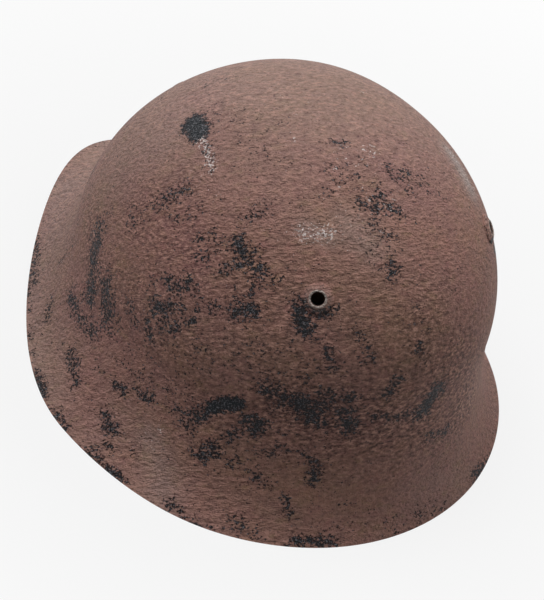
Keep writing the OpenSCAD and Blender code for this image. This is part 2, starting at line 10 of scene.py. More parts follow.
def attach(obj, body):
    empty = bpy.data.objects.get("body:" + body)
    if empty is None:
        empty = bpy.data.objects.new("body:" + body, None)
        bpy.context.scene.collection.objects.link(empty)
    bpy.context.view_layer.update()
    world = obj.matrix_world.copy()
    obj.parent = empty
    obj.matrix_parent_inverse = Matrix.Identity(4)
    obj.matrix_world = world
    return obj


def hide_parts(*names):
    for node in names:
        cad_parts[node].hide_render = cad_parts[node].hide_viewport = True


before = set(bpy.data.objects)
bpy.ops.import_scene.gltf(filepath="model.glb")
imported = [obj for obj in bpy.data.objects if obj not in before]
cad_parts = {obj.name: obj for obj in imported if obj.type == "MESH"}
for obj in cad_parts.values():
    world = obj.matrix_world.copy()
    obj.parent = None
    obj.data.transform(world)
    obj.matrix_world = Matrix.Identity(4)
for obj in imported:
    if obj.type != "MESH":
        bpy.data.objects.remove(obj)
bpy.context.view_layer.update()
MM = 0.001


# The photograph looks down on the wearer's right front from about 1.3 m, with the camera rolled,
# so the helmet seems turned clockwise. It is set first, because the wear is placed through it.
VIEW_AZ, VIEW_EL, VIEW_ROLL = 308.98, 42.64, 17.87
VIEW_DIST, VIEW_LENS, SENSOR = 1317.0, 167.58, 36.0
VIEW_AT = Vector((-41.6, -41.4, 85.2))
PICTURE = (544, 600)

az, el = radians(VIEW_AZ), radians(VIEW_EL)
view_back = Vector((sin(az) * cos(el), -cos(az) * cos(el), sin(el)))
view_side = Vector((0, 0, 1)).cross(view_back).normalized()
view_up = view_back.cross(view_side)
roll = radians(VIEW_ROLL)
view_right = cos(roll) * view_side + sin(roll) * view_up
view_top = -sin(roll) * view_side + cos(roll) * view_up
view_from = VIEW_AT + VIEW_DIST * view_back

camera = bpy.data.objects.new("camera", bpy.data.cameras.new("camera"))
bpy.context.scene.collection.objects.link(camera)
camera.matrix_world = Matrix.Translation(view_from * MM) @ Matrix(
    (view_right, view_top, view_back)).transposed().to_4x4()
camera.data.lens = VIEW_LENS
camera.data.sensor_width = SENSOR
camera.data.clip_start, camera.data.clip_end = 0.05, 20
bpy.context.scene.camera = camera


def sight(px, py):
    """Direction from the camera through a place in the picture."""
    focal = VIEW_LENS / SENSOR * PICTURE[1]
    return (-view_back + (px - PICTURE[0] / 2) / focal * view_right
            - (py - PICTURE[1] / 2) / focal * view_top).normalized()


# One disc of 1.2 mm steel, pressed in steps to a bowl with a flared skirt. The bowl is a fuller
# ellipse over an egg-shaped plan, and the skirt sweeps out from the fold to a level rim that
# lifts only at the neck. Angles run from the visor (0) over the wearer's left (90) to the neck.
RIM_W, RIM_LEN, SHELL_H, SHELL_T = 242.2, 277.4, 164.9, 1.2
BOWL_W, BOWL_LEN = 191.4, 219.9
FOLD_FRONT, FOLD_SIDE, FOLD_REAR = 75.4, 53.6, 48.7
# the share of each length that lies before the widest place, and where that place and the crown lie
RIM_SHARE, BOWL_SHARE = 0.4759, 0.4816
RIM_AT, BOWL_AT, CROWN_AT = 7.7, 1.2, -10
RIM_F, BOWL_F = RIM_LEN * RIM_SHARE, BOWL_LEN * BOWL_SHARE
RIM_R, BOWL_R = RIM_LEN - RIM_F, BOWL_LEN - BOWL_F
MID_Y = RIM_AT + (RIM_R - RIM_F) / 2
FOLD_Y, RIM_Y, CROWN_Y = BOWL_AT - MID_Y, RIM_AT - MID_Y, CROWN_AT - MID_Y
# how far the corners of the plan are drawn in, at the front and at the rear
BOWL_PINCH, RIM_PINCH = (0.015, -0.052), (-0.024, 0.236)
# how full the bowl is, and where the bend of the flare lies, at the front, the sides and the rear
BOWL_POWER = (2.003, 2.066, 2.031)
FLARE_OUT, FLARE_DOWN = (0.22, 0.3, 0.22), (0.75, 0.88, 0.65)
# fuller places of the rim: size, angle and spread; and how the rim lifts at the neck
RIM_SWELLS = ((1.21, 1.0, 0.3), (2.23, 2.3, 0.4))
REAR_LIFT, LIFT_FROM, LIFT_POWER = 19.1, 0.377, 1.814


def mix3(t, front, side, rear):
    """A value that goes from front over side to rear with the angle."""
    c = cos(t)
    return side + ((front if c > 0 else rear) - side) * c * c


def plan(t, half, front, rear, y, pinch_front, pinch_rear):
    """Two half ellipses that meet at y; a pinch draws their corners in, or out if below 0."""
    c, s = cos(t), sin(t)
    pinch, reach = (pinch_front, front) if c > 0 else (pinch_rear, rear)
    return half * s * (1 - pinch * c * c), y - reach * c * (1 - pinch * s * s)


def fold(t):
    """The line where the bowl turns into the skirt."""
    x, y = plan(t, BOWL_W / 2, BOWL_F, BOWL_R, FOLD_Y, *BOWL_PINCH)
    return Vector((x, y, mix3(t, FOLD_FRONT, FOLD_SIDE, FOLD_REAR)))


def rim(t):
    """The skirt's outer edge."""
    x, y = plan(t, RIM_W / 2, RIM_F, RIM_R, RIM_Y, *RIM_PINCH)
    turned = abs((t + pi) % (2 * pi) - pi)
    swell = sum(size * exp(-((turned - at) / spread) ** 2) for size, at, spread in RIM_SWELLS)
    back = -cos(t)
    z = REAR_LIFT * ((back - LIFT_FROM) / (1 - LIFT_FROM)) ** LIFT_POWER if back > LIFT_FROM else 0
    return Vector((x + swell * sin(t), y - swell * cos(t), z))


def skin(t, v):
    """Outer face: v is 0 at the crown, 1 at the fold and 2 at the rim."""
    bend = fold(t)
    if v <= 1:
        power, a = 2 / mix3(t, *BOWL_POWER), v * pi / 2
        out, up = max(0, sin(a)) ** power, max(0, cos(a)) ** power
        return Vector((bend.x * out, CROWN_Y + (bend.y - CROWN_Y) * out,
                       bend.z + (SHELL_H - bend.z) * up))
    edge, u = rim(t), v - 1
    out, down = mix3(t, *FLARE_OUT), mix3(t, *FLARE_DOWN)
    knee = Vector((bend.x + out * (edge.x - bend.x), bend.y + out * (edge.y - bend.y),
                   bend.z + down * (edge.z - bend.z)))
    return (1 - u) ** 2 * bend + 2 * u * (1 - u) * knee + u * u * edge


def skin_normal(t, v):
    """Outward normal of the outer face."""
    if v < 0.01:
        return Vector((0, 0, 1))
    across = skin(t + 0.003, v) - skin(t - 0.003, v)
    down = skin(t, min(2, v + 0.01)) - skin(t, v - 0.01)
    return down.cross(across).normalized()


def inside(t, v):
    """Inner face, one sheet thickness in; the rim's cut edge stays level."""
    outer, normal = skin(t, v), skin_normal(t, v)
    if v < 1.999:
        within = outer - SHELL_T * normal
        within.z = max(within.z, rim(t).z)
        return within
    level = Vector((normal.x, normal.y, 0))
    return outer - min(SHELL_T / level.length, 2) * level.normalized()


def bowl_place(t, z):
    """Place and normal on the bowl at a height."""
    bend = fold(t)
    v = acos((max(0, z - bend.z) / (SHELL_H - bend.z)) ** (mix3(t, *BOWL_POWER) / 2)) / (pi / 2)
    return skin(t, v), skin_normal(t, v)


VENT_TURN, VENT_Z, REAR_VENT_Z, VENT_R = radians(44.2), 123.9, 97.0, 4.35
VENTS = {"right": bowl_place(-VENT_TURN, VENT_Z), "left": bowl_place(VENT_TURN, VENT_Z),
         "rear": bowl_place(pi, REAR_VENT_Z)}


def upright(place, normal):
    """Turns +Z into the normal and moves the origin to the place, in millimetres."""
    turn = Vector((0, 0, 1)).rotation_difference(normal).to_matrix().to_4x4()
    return Matrix.Translation(place) @ turn


def new_piece(name, bm, smooth, scale=MM):
    """Makes an object of a bmesh in millimetres; edges sharper than smooth degrees stay sharp."""
    bmesh.ops.transform(bm, matrix=Matrix.Scale(scale, 4), verts=bm.verts)
    mesh = bpy.data.meshes.new(name)
    bm.to_mesh(mesh)
    bm.free()
    piece = bpy.data.objects.new(name, mesh)
    bpy.context.scene.collection.objects.link(piece)
    mesh.shade_smooth()
    if smooth:
        mesh.set_sharp_from_angle(angle=radians(smooth))
    return piece


def cut_away(piece, cutter_bm):
    """Bores or cuts the piece with a closed form, and drops the cutter."""
    cutter = new_piece("cutter", cutter_bm, 0)
    mod = piece.modifiers.new("cut", "BOOLEAN")
    mod.object, mod.operation, mod.solver = cutter, "DIFFERENCE", "EXACT"
    bpy.context.view_layer.update()
    cut = piece.evaluated_get(bpy.context.evaluated_depsgraph_get())
    done = bpy.data.meshes.new_from_object(cut)
    piece.modifiers.clear()
    piece.data = done
    bpy.data.objects.remove(cutter)


COLS, BOWL_ROWS, SKIRT_ROWS = 240, 64, 36


def skin_grid(bm, face):
    """A sheet of quads laid over the bowl and skirt, closed at the seam and the crown."""
    rows = BOWL_ROWS + SKIRT_ROWS
    for vert in bmesh.ops.create_grid(bm, x_segments=COLS, y_segments=rows, size=1)["verts"]:
        t = (vert.co.x + 1) * pi
        row = round((vert.co.y + 1) / 2 * rows)
        v = row / BOWL_ROWS if row <= BOWL_ROWS else 1 + (row - BOWL_ROWS) / SKIRT_ROWS
        vert.co = face(t, v) if row else face(0, 0)


# outer and inner skins, joined at the rim, with the three vent holes bored through
bm = bmesh.new()
skin_grid(bm, skin)
bmesh.ops.remove_doubles(bm, verts=bm.verts, dist=0.01)
outer_rim = [e for e in bm.edges if e.is_boundary]
before = set(bm.verts)
skin_grid(bm, inside)
bmesh.ops.remove_doubles(bm, verts=[v for v in bm.verts if v not in before], dist=0.01)
inner_rim = [e for e in bm.edges if e.is_boundary and e not in outer_rim]
bmesh.ops.bridge_loops(bm, edges=outer_rim + inner_rim)
bmesh.ops.recalc_face_normals(bm, faces=bm.faces)
shell = new_piece("pressed_shell", bm, 50)

bm = bmesh.new()
for place, normal in VENTS.values():
    bmesh.ops.create_cone(bm, segments=48, radius1=VENT_R, radius2=VENT_R, depth=10, cap_ends=True,
                          matrix=upright(place, normal))
cut_away(shell, bm)
shell.data.shade_smooth()
shell.data.set_sharp_from_angle(angle=radians(50))


# Matt brown paint with sand in it, sprayed over blue-black oxidised steel. Knocks and rubbing took
# it off in speckled clusters, along the fold and along the rim. Each stroke below is one such
# cluster: from and to in the photograph, its half width in millimetres and how bare it is.
WORN = [
    (193, 123, 199, 132, 4.5, 2.1), (203, 140, 212, 166, 3.5, 0.7), (330, 142, 346, 144, 2.5, 0.75),
    (388, 166, 396, 176, 4, 0.6), (403, 168, 408, 190, 4, 0.55), (420, 178, 428, 190, 4, 0.5),
    (362, 203, 375, 210, 4, 0.75), (374, 200, 402, 214, 4.5, 0.75), (383, 188, 378, 215, 4, 0.6),
    (374, 225, 392, 240, 4, 0.7), (388, 240, 391, 262, 2.5, 0.5), (392, 264, 391, 275, 3, 0.85),
    (332, 176, 366, 178, 3.5, 0.45), (244, 214, 262, 206, 3, 0.5), (262, 206, 276, 202, 3, 0.65),
    (278, 198, 300, 208, 3, 0.35), (158, 206, 188, 188, 6, 0.75), (172, 222, 200, 212, 6, 0.5),
    (130, 226, 140, 214, 5, 0.55), (196, 236, 212, 238, 4, 0.8), (246, 220, 262, 214, 4, 0.6),
    (214, 236, 226, 246, 5, 0.8), (198, 258, 208, 252, 5, 0.8), (208, 252, 224, 242, 4, 0.6),
    (238, 243, 250, 262, 5.5, 1.0), (222, 272, 242, 262, 3.5, 0.85), (246, 258, 264, 272, 4, 0.85),
    (264, 272, 276, 282, 4, 0.7), (250, 290, 268, 280, 3, 0.6), (170, 284, 178, 285, 4.5, 1.0),
    (186, 280, 191, 289, 4.5, 0.95), (154, 298, 158, 310, 3, 0.65), (156, 308, 180, 310, 5, 0.95),
    (198, 302, 206, 298, 3, 0.5), (214, 308, 222, 310, 3.5, 0.8), (234, 312, 252, 308, 5, 1.05),
    (260, 304, 268, 314, 3, 0.5), (284, 303, 296, 308, 3, 0.45), (124, 305, 134, 324, 3.5, 0.65),
    (146, 322, 150, 338, 3.5, 0.85), (162, 330, 176, 326, 4, 0.85), (188, 324, 198, 310, 3.5, 0.8),
    (99, 226, 94, 262, 7, 0.9), (94, 262, 90, 298, 6, 0.9), (116, 178, 106, 200, 2.5, 0.45),
    (130, 205, 136, 235, 4, 0.65), (110, 214, 112, 200, 3, 0.5), (126, 216, 134, 232, 4, 0.45),
    (74, 242, 60, 262, 4, 0.6), (70, 298, 78, 320, 6.5, 0.85), (80, 320, 94, 334, 6, 0.85),
    (105, 290, 109, 318, 11, 0.85), (84, 294, 92, 300, 5, 0.75), (130, 304, 134, 322, 5, 0.75),
    (52, 300, 48, 318, 5, 0.65), (72, 356, 78, 380, 5.5, 0.75), (96, 370, 102, 372, 3, 0.5),
    (116, 384, 124, 392, 4, 1.0), (138, 394, 150, 398, 3.5, 0.95), (126, 366, 140, 378, 4, 0.5),
    (106, 416, 112, 430, 4.5, 0.85), (82, 400, 90, 404, 3, 0.45), (148, 344, 156, 364, 5, 0.3),
    (174, 408, 190, 422, 4, 0.8), (190, 418, 208, 410, 5, 0.9), (213, 408, 228, 404, 3.4, 1.9),
    (226, 402, 238, 403, 3.2, 2.0), (206, 411, 214, 404, 3, 1.0), (186, 426, 204, 420, 4, 0.75),
    (246, 418, 262, 424, 5, 0.95), (254, 430, 262, 424, 4.5, 1.0), (268, 390, 290, 400, 6, 1.05),
    (290, 400, 320, 408, 7.5, 1.05), (302, 408, 320, 420, 6, 1.1), (318, 394, 356, 397, 4, 0.9),
    (338, 418, 350, 428, 4.5, 0.7), (391, 391, 399, 378, 4.5, 1.0), (344, 412, 350, 430, 5, 1.0),
    (376, 416, 398, 418, 4, 0.8), (421, 414, 438, 388, 5, 1.15), (398, 416, 420, 410, 4, 0.8),
    (200, 456, 214, 450, 5, 0.95), (228, 436, 236, 432, 4, 0.85), (218, 444, 238, 434, 4, 0.55),
    (228, 464, 236, 460, 4, 0.8), (244, 470, 268, 484, 3, 0.75), (280, 446, 300, 454, 3, 0.75),
    (300, 452, 316, 466, 3.5, 0.9), (315, 468, 313, 482, 3.5, 0.9), (284, 496, 290, 516, 3, 0.85),
    (264, 452, 272, 454, 3, 0.9), (298, 318, 306, 330, 4, 1.3), (298, 304, 312, 314, 3.5, 0.95),
    (314, 314, 332, 310, 3.5, 0.9), (350, 332, 360, 336, 3, 0.65), (324, 344, 334, 366, 4.5, 0.75),
    (366, 344, 369, 360, 4, 0.8), (264, 350, 270, 352, 3, 0.6), (412, 304, 414, 326, 2.5, 0.5),
    (420, 345, 422, 362, 3, 0.85), (482, 343, 486, 352, 3.5, 0.95), (474, 476, 486, 462, 4, 0.7),
    (37, 374, 43, 394, 3, 0.95), (56, 414, 66, 426, 3.5, 0.7), (90, 450, 104, 464, 3.5, 0.6),
    (104, 468, 122, 479, 2.5, 0.9), (132, 492, 158, 508, 3, 0.5), (170, 502, 180, 508, 3, 0.85),
    (184, 518, 206, 526, 3.5, 0.6), (228, 520, 256, 532, 4, 0.65), (294, 538, 338, 541, 3, 0.85),
    (338, 526, 370, 524, 3, 0.45), (414, 514, 424, 512, 4, 0.6), (104, 446, 112, 450, 3, 0.75),
    (134, 448, 138, 456, 3.5, 0.55), (428, 436, 446, 430, 3.5, 0.9), (334, 502, 348, 504, 2.5, 0.4),
    (202, 82, 232, 78, 3, 0.35), (37, 244, 34, 284, 4, 0.6), (30, 330, 34, 350, 3, 0.4),
    (488, 400, 492, 420, 3, 0.35)]
# loose specks between the clusters, over wide stretches
WORN += [
    (100, 240, 190, 300, 22, 0.27), (62, 300, 130, 390, 20, 0.27), (200, 250, 290, 320, 18, 0.2),
    (150, 190, 200, 260, 16, 0.29), (330, 180, 425, 190, 16, 0.32), (370, 200, 390, 260, 10, 0.32),
    (180, 400, 320, 425, 20, 0.33), (200, 450, 320, 480, 18, 0.32), (330, 395, 440, 410, 16, 0.29),
    (300, 315, 375, 350, 14, 0.27), (408, 290, 420, 370, 9, 0.32), (100, 400, 170, 440, 18, 0.1),
    (150, 350, 300, 362, 18, 0.4), (330, 440, 450, 440, 16, 0.27), (90, 440, 300, 535, 9, 0.2),
    (300, 538, 440, 505, 8, 0.32), (440, 250, 470, 340, 12, 0.17), (200, 90, 270, 150, 14, 0.27),
    (330, 350, 470, 370, 16, 0.29), (180, 290, 300, 300, 14, 0.26), (50, 230, 40, 330, 8, 0.29)]
# painted glints, with pale dust and bare metal among them: from, to, half width, strength
DUST_AND_GLINTS = [
    (203, 140, 213, 168, 3.2, 1.5), (302, 234, 330, 232, 4.5, 1.5), (362, 150, 374, 148, 3, 0.9),
    (368, 196, 394, 204, 5, 0.8), (452, 154, 471, 186, 6, 1.0), (360, 92, 365, 92, 1, 1.9),
    (295, 139, 295, 142, 1, 1.9), (371, 145, 371, 148, 1, 1.9), (364, 151, 376, 156, 1.5, 1.4),
    (334, 168, 335, 168, 1, 1.9), (232, 117, 233, 118, 1.2, 1.5), (158, 430, 162, 430, 1.2, 1.7),
    (152, 447, 153, 448, 1, 1.6), (376, 222, 384, 236, 4, 0.7), (330, 150, 372, 160, 6, 0.6),
    (270, 225, 300, 240, 6, 0.5), (330, 190, 360, 230, 9, 0.5), (150, 430, 158, 452, 5, 0.5),
    (290, 100, 290, 140, 5, 0.4), (214, 200, 200, 170, 6, 0.5)]
# stretches where the paint has gone pink, and where it has gone olive
ROSY = [
    (130, 180, 200, 250, 14, 0.9), (70, 290, 130, 330, 14, 0.8), (385, 160, 440, 200, 14, 0.7),
    (330, 170, 380, 200, 12, 0.6), (60, 170, 40, 240, 10, 0.5), (170, 290, 240, 310, 12, 0.5),
    (270, 400, 330, 420, 14, 0.4), (430, 230, 470, 290, 16, 0.4), (190, 100, 215, 130, 10, 0.6),
    (160, 380, 190, 400, 10, 0.5), (80, 430, 180, 490, 14, 0.4), (420, 470, 470, 500, 14, 0.5)]
OLIVE = [
    (330, 270, 400, 320, 22, 0.7), (200, 330, 330, 350, 20, 0.2), (240, 440, 320, 490, 18, 0.5),
    (110, 190, 125, 160, 14, 0.6), (215, 240, 240, 262, 10, 0.5), (360, 200, 380, 250, 10, 0.5),
    (270, 70, 340, 90, 20, 0.5)]
# where dust lies on it, with a painted sheen on one stretch of the bowl, and painted shade along the fold
# between bowl and skirt and on some lower faces
DUST_AND_SHEEN = [
    (451, 154, 470, 188, 5.5, 0.75), (306, 229, 330, 238, 4, 0.25), (347, 226, 372, 246, 7, 0.25),
    (150, 442, 165, 490, 8, 0.3), (62, 190, 50, 240, 10, 0.2), (45, 260, 42, 350, 26, 0.17),
    (125, 165, 155, 145, 18, 0.15), (425, 488, 462, 490, 14, 0.14), (112, 424, 140, 436, 12, 0.12)]
VALLEY_SHADE = [
    (290, 410, 420, 420, 20, 1.0), (330, 436, 420, 432, 15, 0.8), (200, 410, 300, 410, 14, 0.5),
    (310, 340, 420, 380, 26, 0.4), (90, 230, 92, 300, 8, 0.7), (100, 280, 200, 330, 16, 0.4),
    (150, 230, 230, 300, 20, 0.35), (176, 344, 300, 360, 22, 0.35), (420, 330, 440, 390, 16, 0.6),
    (450, 362, 466, 404, 15, 1.0), (300, 380, 440, 370, 20, 0.5)]

bvh = BVHTree.FromObject(shell, bpy.context.evaluated_depsgraph_get())


def on_shell(px, py):
    """Where the line of sight through a place in the photograph meets the shell, in millimetres."""
    hit = bvh.ray_cast(view_from * MM, sight(px, py))[0]
    return hit / MM if hit else None


BEND_EVERY = 40


def strokes(marks):
    """The marks as (start, end, half width, depth) on the shell, bent every 40 pixels."""
    found = []
    for x0, y0, x1, y1, width, depth in marks:
        parts = max(1, round(sqrt((x1 - x0) ** 2 + (y1 - y0) ** 2) / BEND_EVERY))
        spots = [on_shell(x0 + (x1 - x0) * i / parts, y0 + (y1 - y0) * i / parts)
                 for i in range(parts + 1)]
        found += [(a, b, width, depth) for a, b in zip(spots, spots[1:]) if a and b]
    return found


# on the unseen sides: how far down the form strokes lie, and how squarely such a place may still
# face the camera
UNSEEN_ROWS, GRAZING = (0.35, 0.6, 0.8, 0.97, 1.05, 1.3, 1.95), 0.12


def unseen_strokes(count):
    """Worn clusters of the same kind for the sides that the photograph doesn't show."""
    chance, found = Random(8), []
    while len(found) < count:
        t, v = chance.uniform(0, 2 * pi), chance.choice(UNSEEN_ROWS)
        v += chance.uniform(-0.12, 0.04)
        if skin_normal(t, v).dot(view_back) > GRAZING:
            continue
        start, turn, down = skin(t, v), chance.uniform(-0.11, 0.11), chance.uniform(-0.05, 0.05)
        end = skin(t + turn, min(1.99, v + down))
        found.append((start, end, chance.uniform(2.5, 5), chance.uniform(0.45, 1.15)))
        if len(found) % 4 == 0:
            found.append((start, skin(t + 3 * turn, v), 20, 0.42))
    return found


# how fast a stroke fades over its half width and where it ends, how far off it isn't looked for, in
# millimetres, and the place that all of the inner face looks towards
FADE, FADE_END, FAR_OFF, FAR_OFF_SQUARED = 0.62, 6, 60, 5000
FORM_MIDDLE = Vector((0, MID_Y, -60))


def stroke_field(mesh, name, marks):
    """Writes how much each vertex of the outer face lies under the strokes to an attribute."""
    field = mesh.attributes.new(name, "FLOAT", "POINT")
    for i, vert in enumerate(mesh.vertices):
        spot, value = vert.co / MM, 0.0
        if vert.normal.dot(spot - FORM_MIDDLE) < 0:
            continue
        for start, end, width, depth in marks:
            if abs(spot.z - start.z) > FAR_OFF or (spot - start).length_squared > FAR_OFF_SQUARED:
                continue
            along = end - start
            share = min(1, max(0, (spot - start).dot(along) / max(along.length_squared, 0.01)))
            off = (spot - start - share * along).length_squared / (width * width)
            if off < FADE_END:
                value = max(value, depth * exp(-FADE * off))
        field.data[i].value = value


stroke_field(shell.data, "worn", strokes(WORN) + unseen_strokes(110))
for name, marks in (("pale", DUST_AND_GLINTS), ("rosy", ROSY), ("olive", OLIVE), ("sooty", VALLEY_SHADE), ("hazy", DUST_AND_SHEEN)):
    stroke_field(shell.data, name, strokes(marks))

# painted haze: the faces that look up and back, towards the light, get a paler, greyer tone
TOWARD_LIGHT = Vector((0.2, 0.62, 0.76))
bleached = shell.data.attributes.new("bleached", "FLOAT", "POINT")
for i, vert in enumerate(shell.data.vertices):
    bleached.data[i].value = max(0, vert.normal.dot(TOWARD_LIGHT))

# rubbed along the rim, over this many millimetres
RUBBED_W, SKIRT_TOP = 12, 45
rubbed = shell.data.attributes.new("edge", "FLOAT", "POINT")
rim_places = [rim(radians(i)) for i in range(360)]
for i, vert in enumerate(shell.data.vertices):
    spot = vert.co / MM
    if spot.z > SKIRT_TOP:
        continue
    turn = round(atan2(spot.x, -(spot.y - RIM_Y)) * 180 / pi)
    gap = min((spot - rim_places[(turn + k) % 360]).length for k in range(-6, 7, 2))
    rubbed.data[i].value = max(0, 1 - gap / RUBBED_W)


def hue(text):
    """An sRGB hex value as the linear colour that the shader takes."""
    parts = [int(text[i:i + 2], 16) / 255 for i in (1, 3, 5)]
    return (*(c / 12.92 if c <= 0.04045 else ((c + 0.055) / 1.055) ** 2.4 for c in parts), 1.0)


def new_material(name):
    """A new material with only its shader and output."""
    made = bpy.data.materials.new(name)
    made.use_nodes = True
    return made, made.node_tree, made.node_tree.nodes["Principled BSDF"]


def feed(tree, node, feeds):
    """Gives inputs of a node their values or links."""
    for key, value in dict(feeds).items():
        if isinstance(value, bpy.types.NodeSocket):
            tree.links.new(value, node.inputs[key])
        else:
            node.inputs[key].default_value = value


def add(tree, kind, feeds=(), out=0, stops=(), **settings):
    """Adds a node with its settings, what feeds its inputs and its colour stops; gives one output."""
    made = tree.nodes.new("ShaderNode" + kind)
    for key, value in settings.items():
        setattr(made, key, value)
    feed(tree, made, feeds)
    while stops and len(made.color_ramp.elements) < len(stops):
        made.color_ramp.elements.new(0.5)
    for i, (place, value) in enumerate(stops):
        made.color_ramp.elements[i].position = place
        made.color_ramp.elements[i].color = value if isinstance(value, tuple) else (value,) * 3 + (1,)
    return made.outputs[out]


def calc(tree, operation, *feeds):
    """Reckons with numbers and other nodes' outputs."""
    return add(tree, "Math", dict(enumerate(feeds)), operation=operation)


def span(tree, value, low=0.0, high=1.0, start=0.0, end=1.0):
    """Turns what goes from low to high into what goes from start to end, and stops there."""
    return add(tree, "MapRange", dict(enumerate((value, low, high, start, end))))


def noise(tree, where, per_mm, detail, rough=0.5, bent=0.0):
    """Noise with so many grains on a millimetre."""
    return add(tree, "TexNoise", {"Vector": where, "Scale": per_mm / MM, "Detail": detail,
                                  "Roughness": rough, "Distortion": bent})


def over(tree, below, share, above):
    """A colour laid over the one below it by a share."""
    above = hue(above) if isinstance(above, str) else above
    return add(tree, "Mix", {0: share, 6: below, 7: above}, out=2, data_type="RGBA")


# sanded matt paint, which scatters light: grit of 0.7 mm and ripples 1.5 mm wide and 3 mm long over
# drifts of hue; a row gives a pattern's name, its space, and its noise
paint, tree, shader = new_material("sanded_matt_brown_paint")
place = add(tree, "TexCoord", out="Object")
turn = Matrix((view_right, view_top, view_back)).transposed().to_euler()
brushed, chipped = (add(tree, "Mapping", {"Vector": place, "Rotation": turn, "Scale": longer},
                        vector_type="TEXTURE") for longer in ((1.9, 1.0, 1.3), (1.3, 1.0, 1.15)))
grain = {}
for name, where, per_mm, detail, rough in (
        ("ripple", brushed, 0.64, 3.0, 0.6), ("lumps", brushed, 0.3, 2.0, 0.5),
        ("tint", brushed, 0.21, 3.0, 0.6), ("grit", place, 1.35, 3.0, 0.6),
        ("drift", place, 0.026, 3.0, 0.6), ("mottle", place, 0.11, 4.0, 0.65),
        ("clump", place, 0.19, 2.0, 0.5), ("far", place, 0.045, 2.0, 0.5),
        ("fleck", chipped, 0.78, 3.0, 0.62), ("dots", chipped, 0.62, 1.5, 0.5),
        ("specks", chipped, 0.8, 1.5, 0.5), ("spark", chipped, 0.9, 3.0, 0.7)):
    grain[name] = noise(tree, where, per_mm, detail, rough)
mark = {name: add(tree, "Attribute", out="Fac", attribute_name=name) for name in (
    "worn", "pale", "rosy", "olive", "sooty", "hazy", "edge", "bleached", "crest", "bore")}
spread = add(tree, "ValToRGB", {0: grain["mottle"]}, stops=[(0.35, 0.25), (0.65, 1.0)])
pinker, greener = (calc(tree, "MULTIPLY", mark[name], spread) for name in ("rosy", "olive"))
# painted shade in the ripples' hollows and painted highlight on their ridges, strongest in the painted
# valley shade and a little stronger on the faces towards the light
plain = span(tree, mark["bleached"], 0.3, 0.9, 0.28, 0.4)
depth = calc(tree, "MULTIPLY_ADD", mark["sooty"], 0.9, plain)
ripple_shade = span(tree, grain["ripple"], 0.47, 0.36)
ripple_highlight = span(tree, grain["ripple"], 0.53, 0.64)
ripple_shade, ripple_highlight = (calc(tree, "MULTIPLY", part, depth) for part in (ripple_shade, ripple_highlight))
colour = add(tree, "ValToRGB", {0: grain["drift"]}, stops=[
    (0.32, hue("#946f5f")), (0.5, hue("#946e63")), (0.68, hue("#976f66"))])
for mask, stops, tone in (
        (grain["tint"], [(0.32, 0.5), (0.44, 0.0)], "#8d7257"),
        (grain["tint"], [(0.56, 0.0), (0.70, 0.45)], "#8f605f"),
        # painted haze on the faces towards the light
        (mark["bleached"], [(0.2, 0.0), (0.9, 0.55)], "#8a7870"),
        (grain["mottle"], [(0.38, 0.0), (0.62, 0.35)], "#79605a"),
        (pinker, [(0.0, 0.0), (1.0, 0.5)], "#8b5e60"),
        (greener, [(0.0, 0.0), (1.0, 0.45)], "#7c644c"),
        # painted shade along the fold between bowl and skirt
        (mark["sooty"], [(0.0, 0.0), (1.0, 0.2)], "#55312a"),
        # pale dust, and a painted sheen on one stretch of the bowl
        (mark["hazy"], [(0.0, 0.0), (1.0, 0.8)], "#a39b96"),
        (ripple_shade, [(0.0, 0.0), (1.0, 1.0)], "#46332f"),
        (ripple_highlight, [(0.0, 0.0), (1.0, 0.9)], "#c09585"),
        (grain["grit"], [(0.28, 0.6), (0.42, 0.0)], "#45322d"),
        (grain["grit"], [(0.58, 0.0), (0.75, 0.35)], "#b99f95"),
        (grain["specks"], [(0.65, 0.0), (0.70, 0.6)], "#42292a")):
    share = add(tree, "ValToRGB", {0: mask}, stops=stops)
    colour = over(tree, colour, share, tone)

# speckles of bare oxidised steel, about 1 mm, as dense as the strokes say, in a reddish halo
rimward = calc(tree, "POWER", mark["edge"], 3.0)
loss = calc(tree, "MULTIPLY_ADD", grain["fleck"], 1.5, -0.25)
loose = grain["dots"]
for source, dense, sparse in ((mark["worn"], 0.45, 0.17), (rimward, 0.15, 0.12),
                              (grain["clump"], 0.40, 0.2), (grain["far"], 0.25, 0.15)):
    loss = calc(tree, "MULTIPLY_ADD", source, dense, loss)
    loose = calc(tree, "MULTIPLY_ADD", source, sparse, loose)
clusters = span(tree, loss, 1.165, 1.195)
scattered = span(tree, loose, 0.94, 0.97)
bare = calc(tree, "MAXIMUM", clusters, scattered)
thin = span(tree, loss, 1.09, 1.165)
stained = calc(tree, "MULTIPLY", thin, 0.55)
colour = over(tree, colour, stained, "#4f3231")
solid = span(tree, loss, 1.25, 1.42)
steel = over(tree, hue("#221716"), solid, "#13181c")
# painted glints on the grit within the bare steel
shine = span(tree, grain["grit"], 0.54, 0.62, 0.0, 0.9)
steel = over(tree, steel, shine, "#6d6b70")
colour = over(tree, colour, bare, steel)

# painted glints, with pale dust and rubbed metal among them, 0.5 mm
bright = calc(tree, "MULTIPLY_ADD", mark["pale"], 0.14, grain["spark"])
glint = span(tree, bright, 0.71, 0.78, 0.0, 0.9)
colour = over(tree, colour, glint, "#d8ccc8")

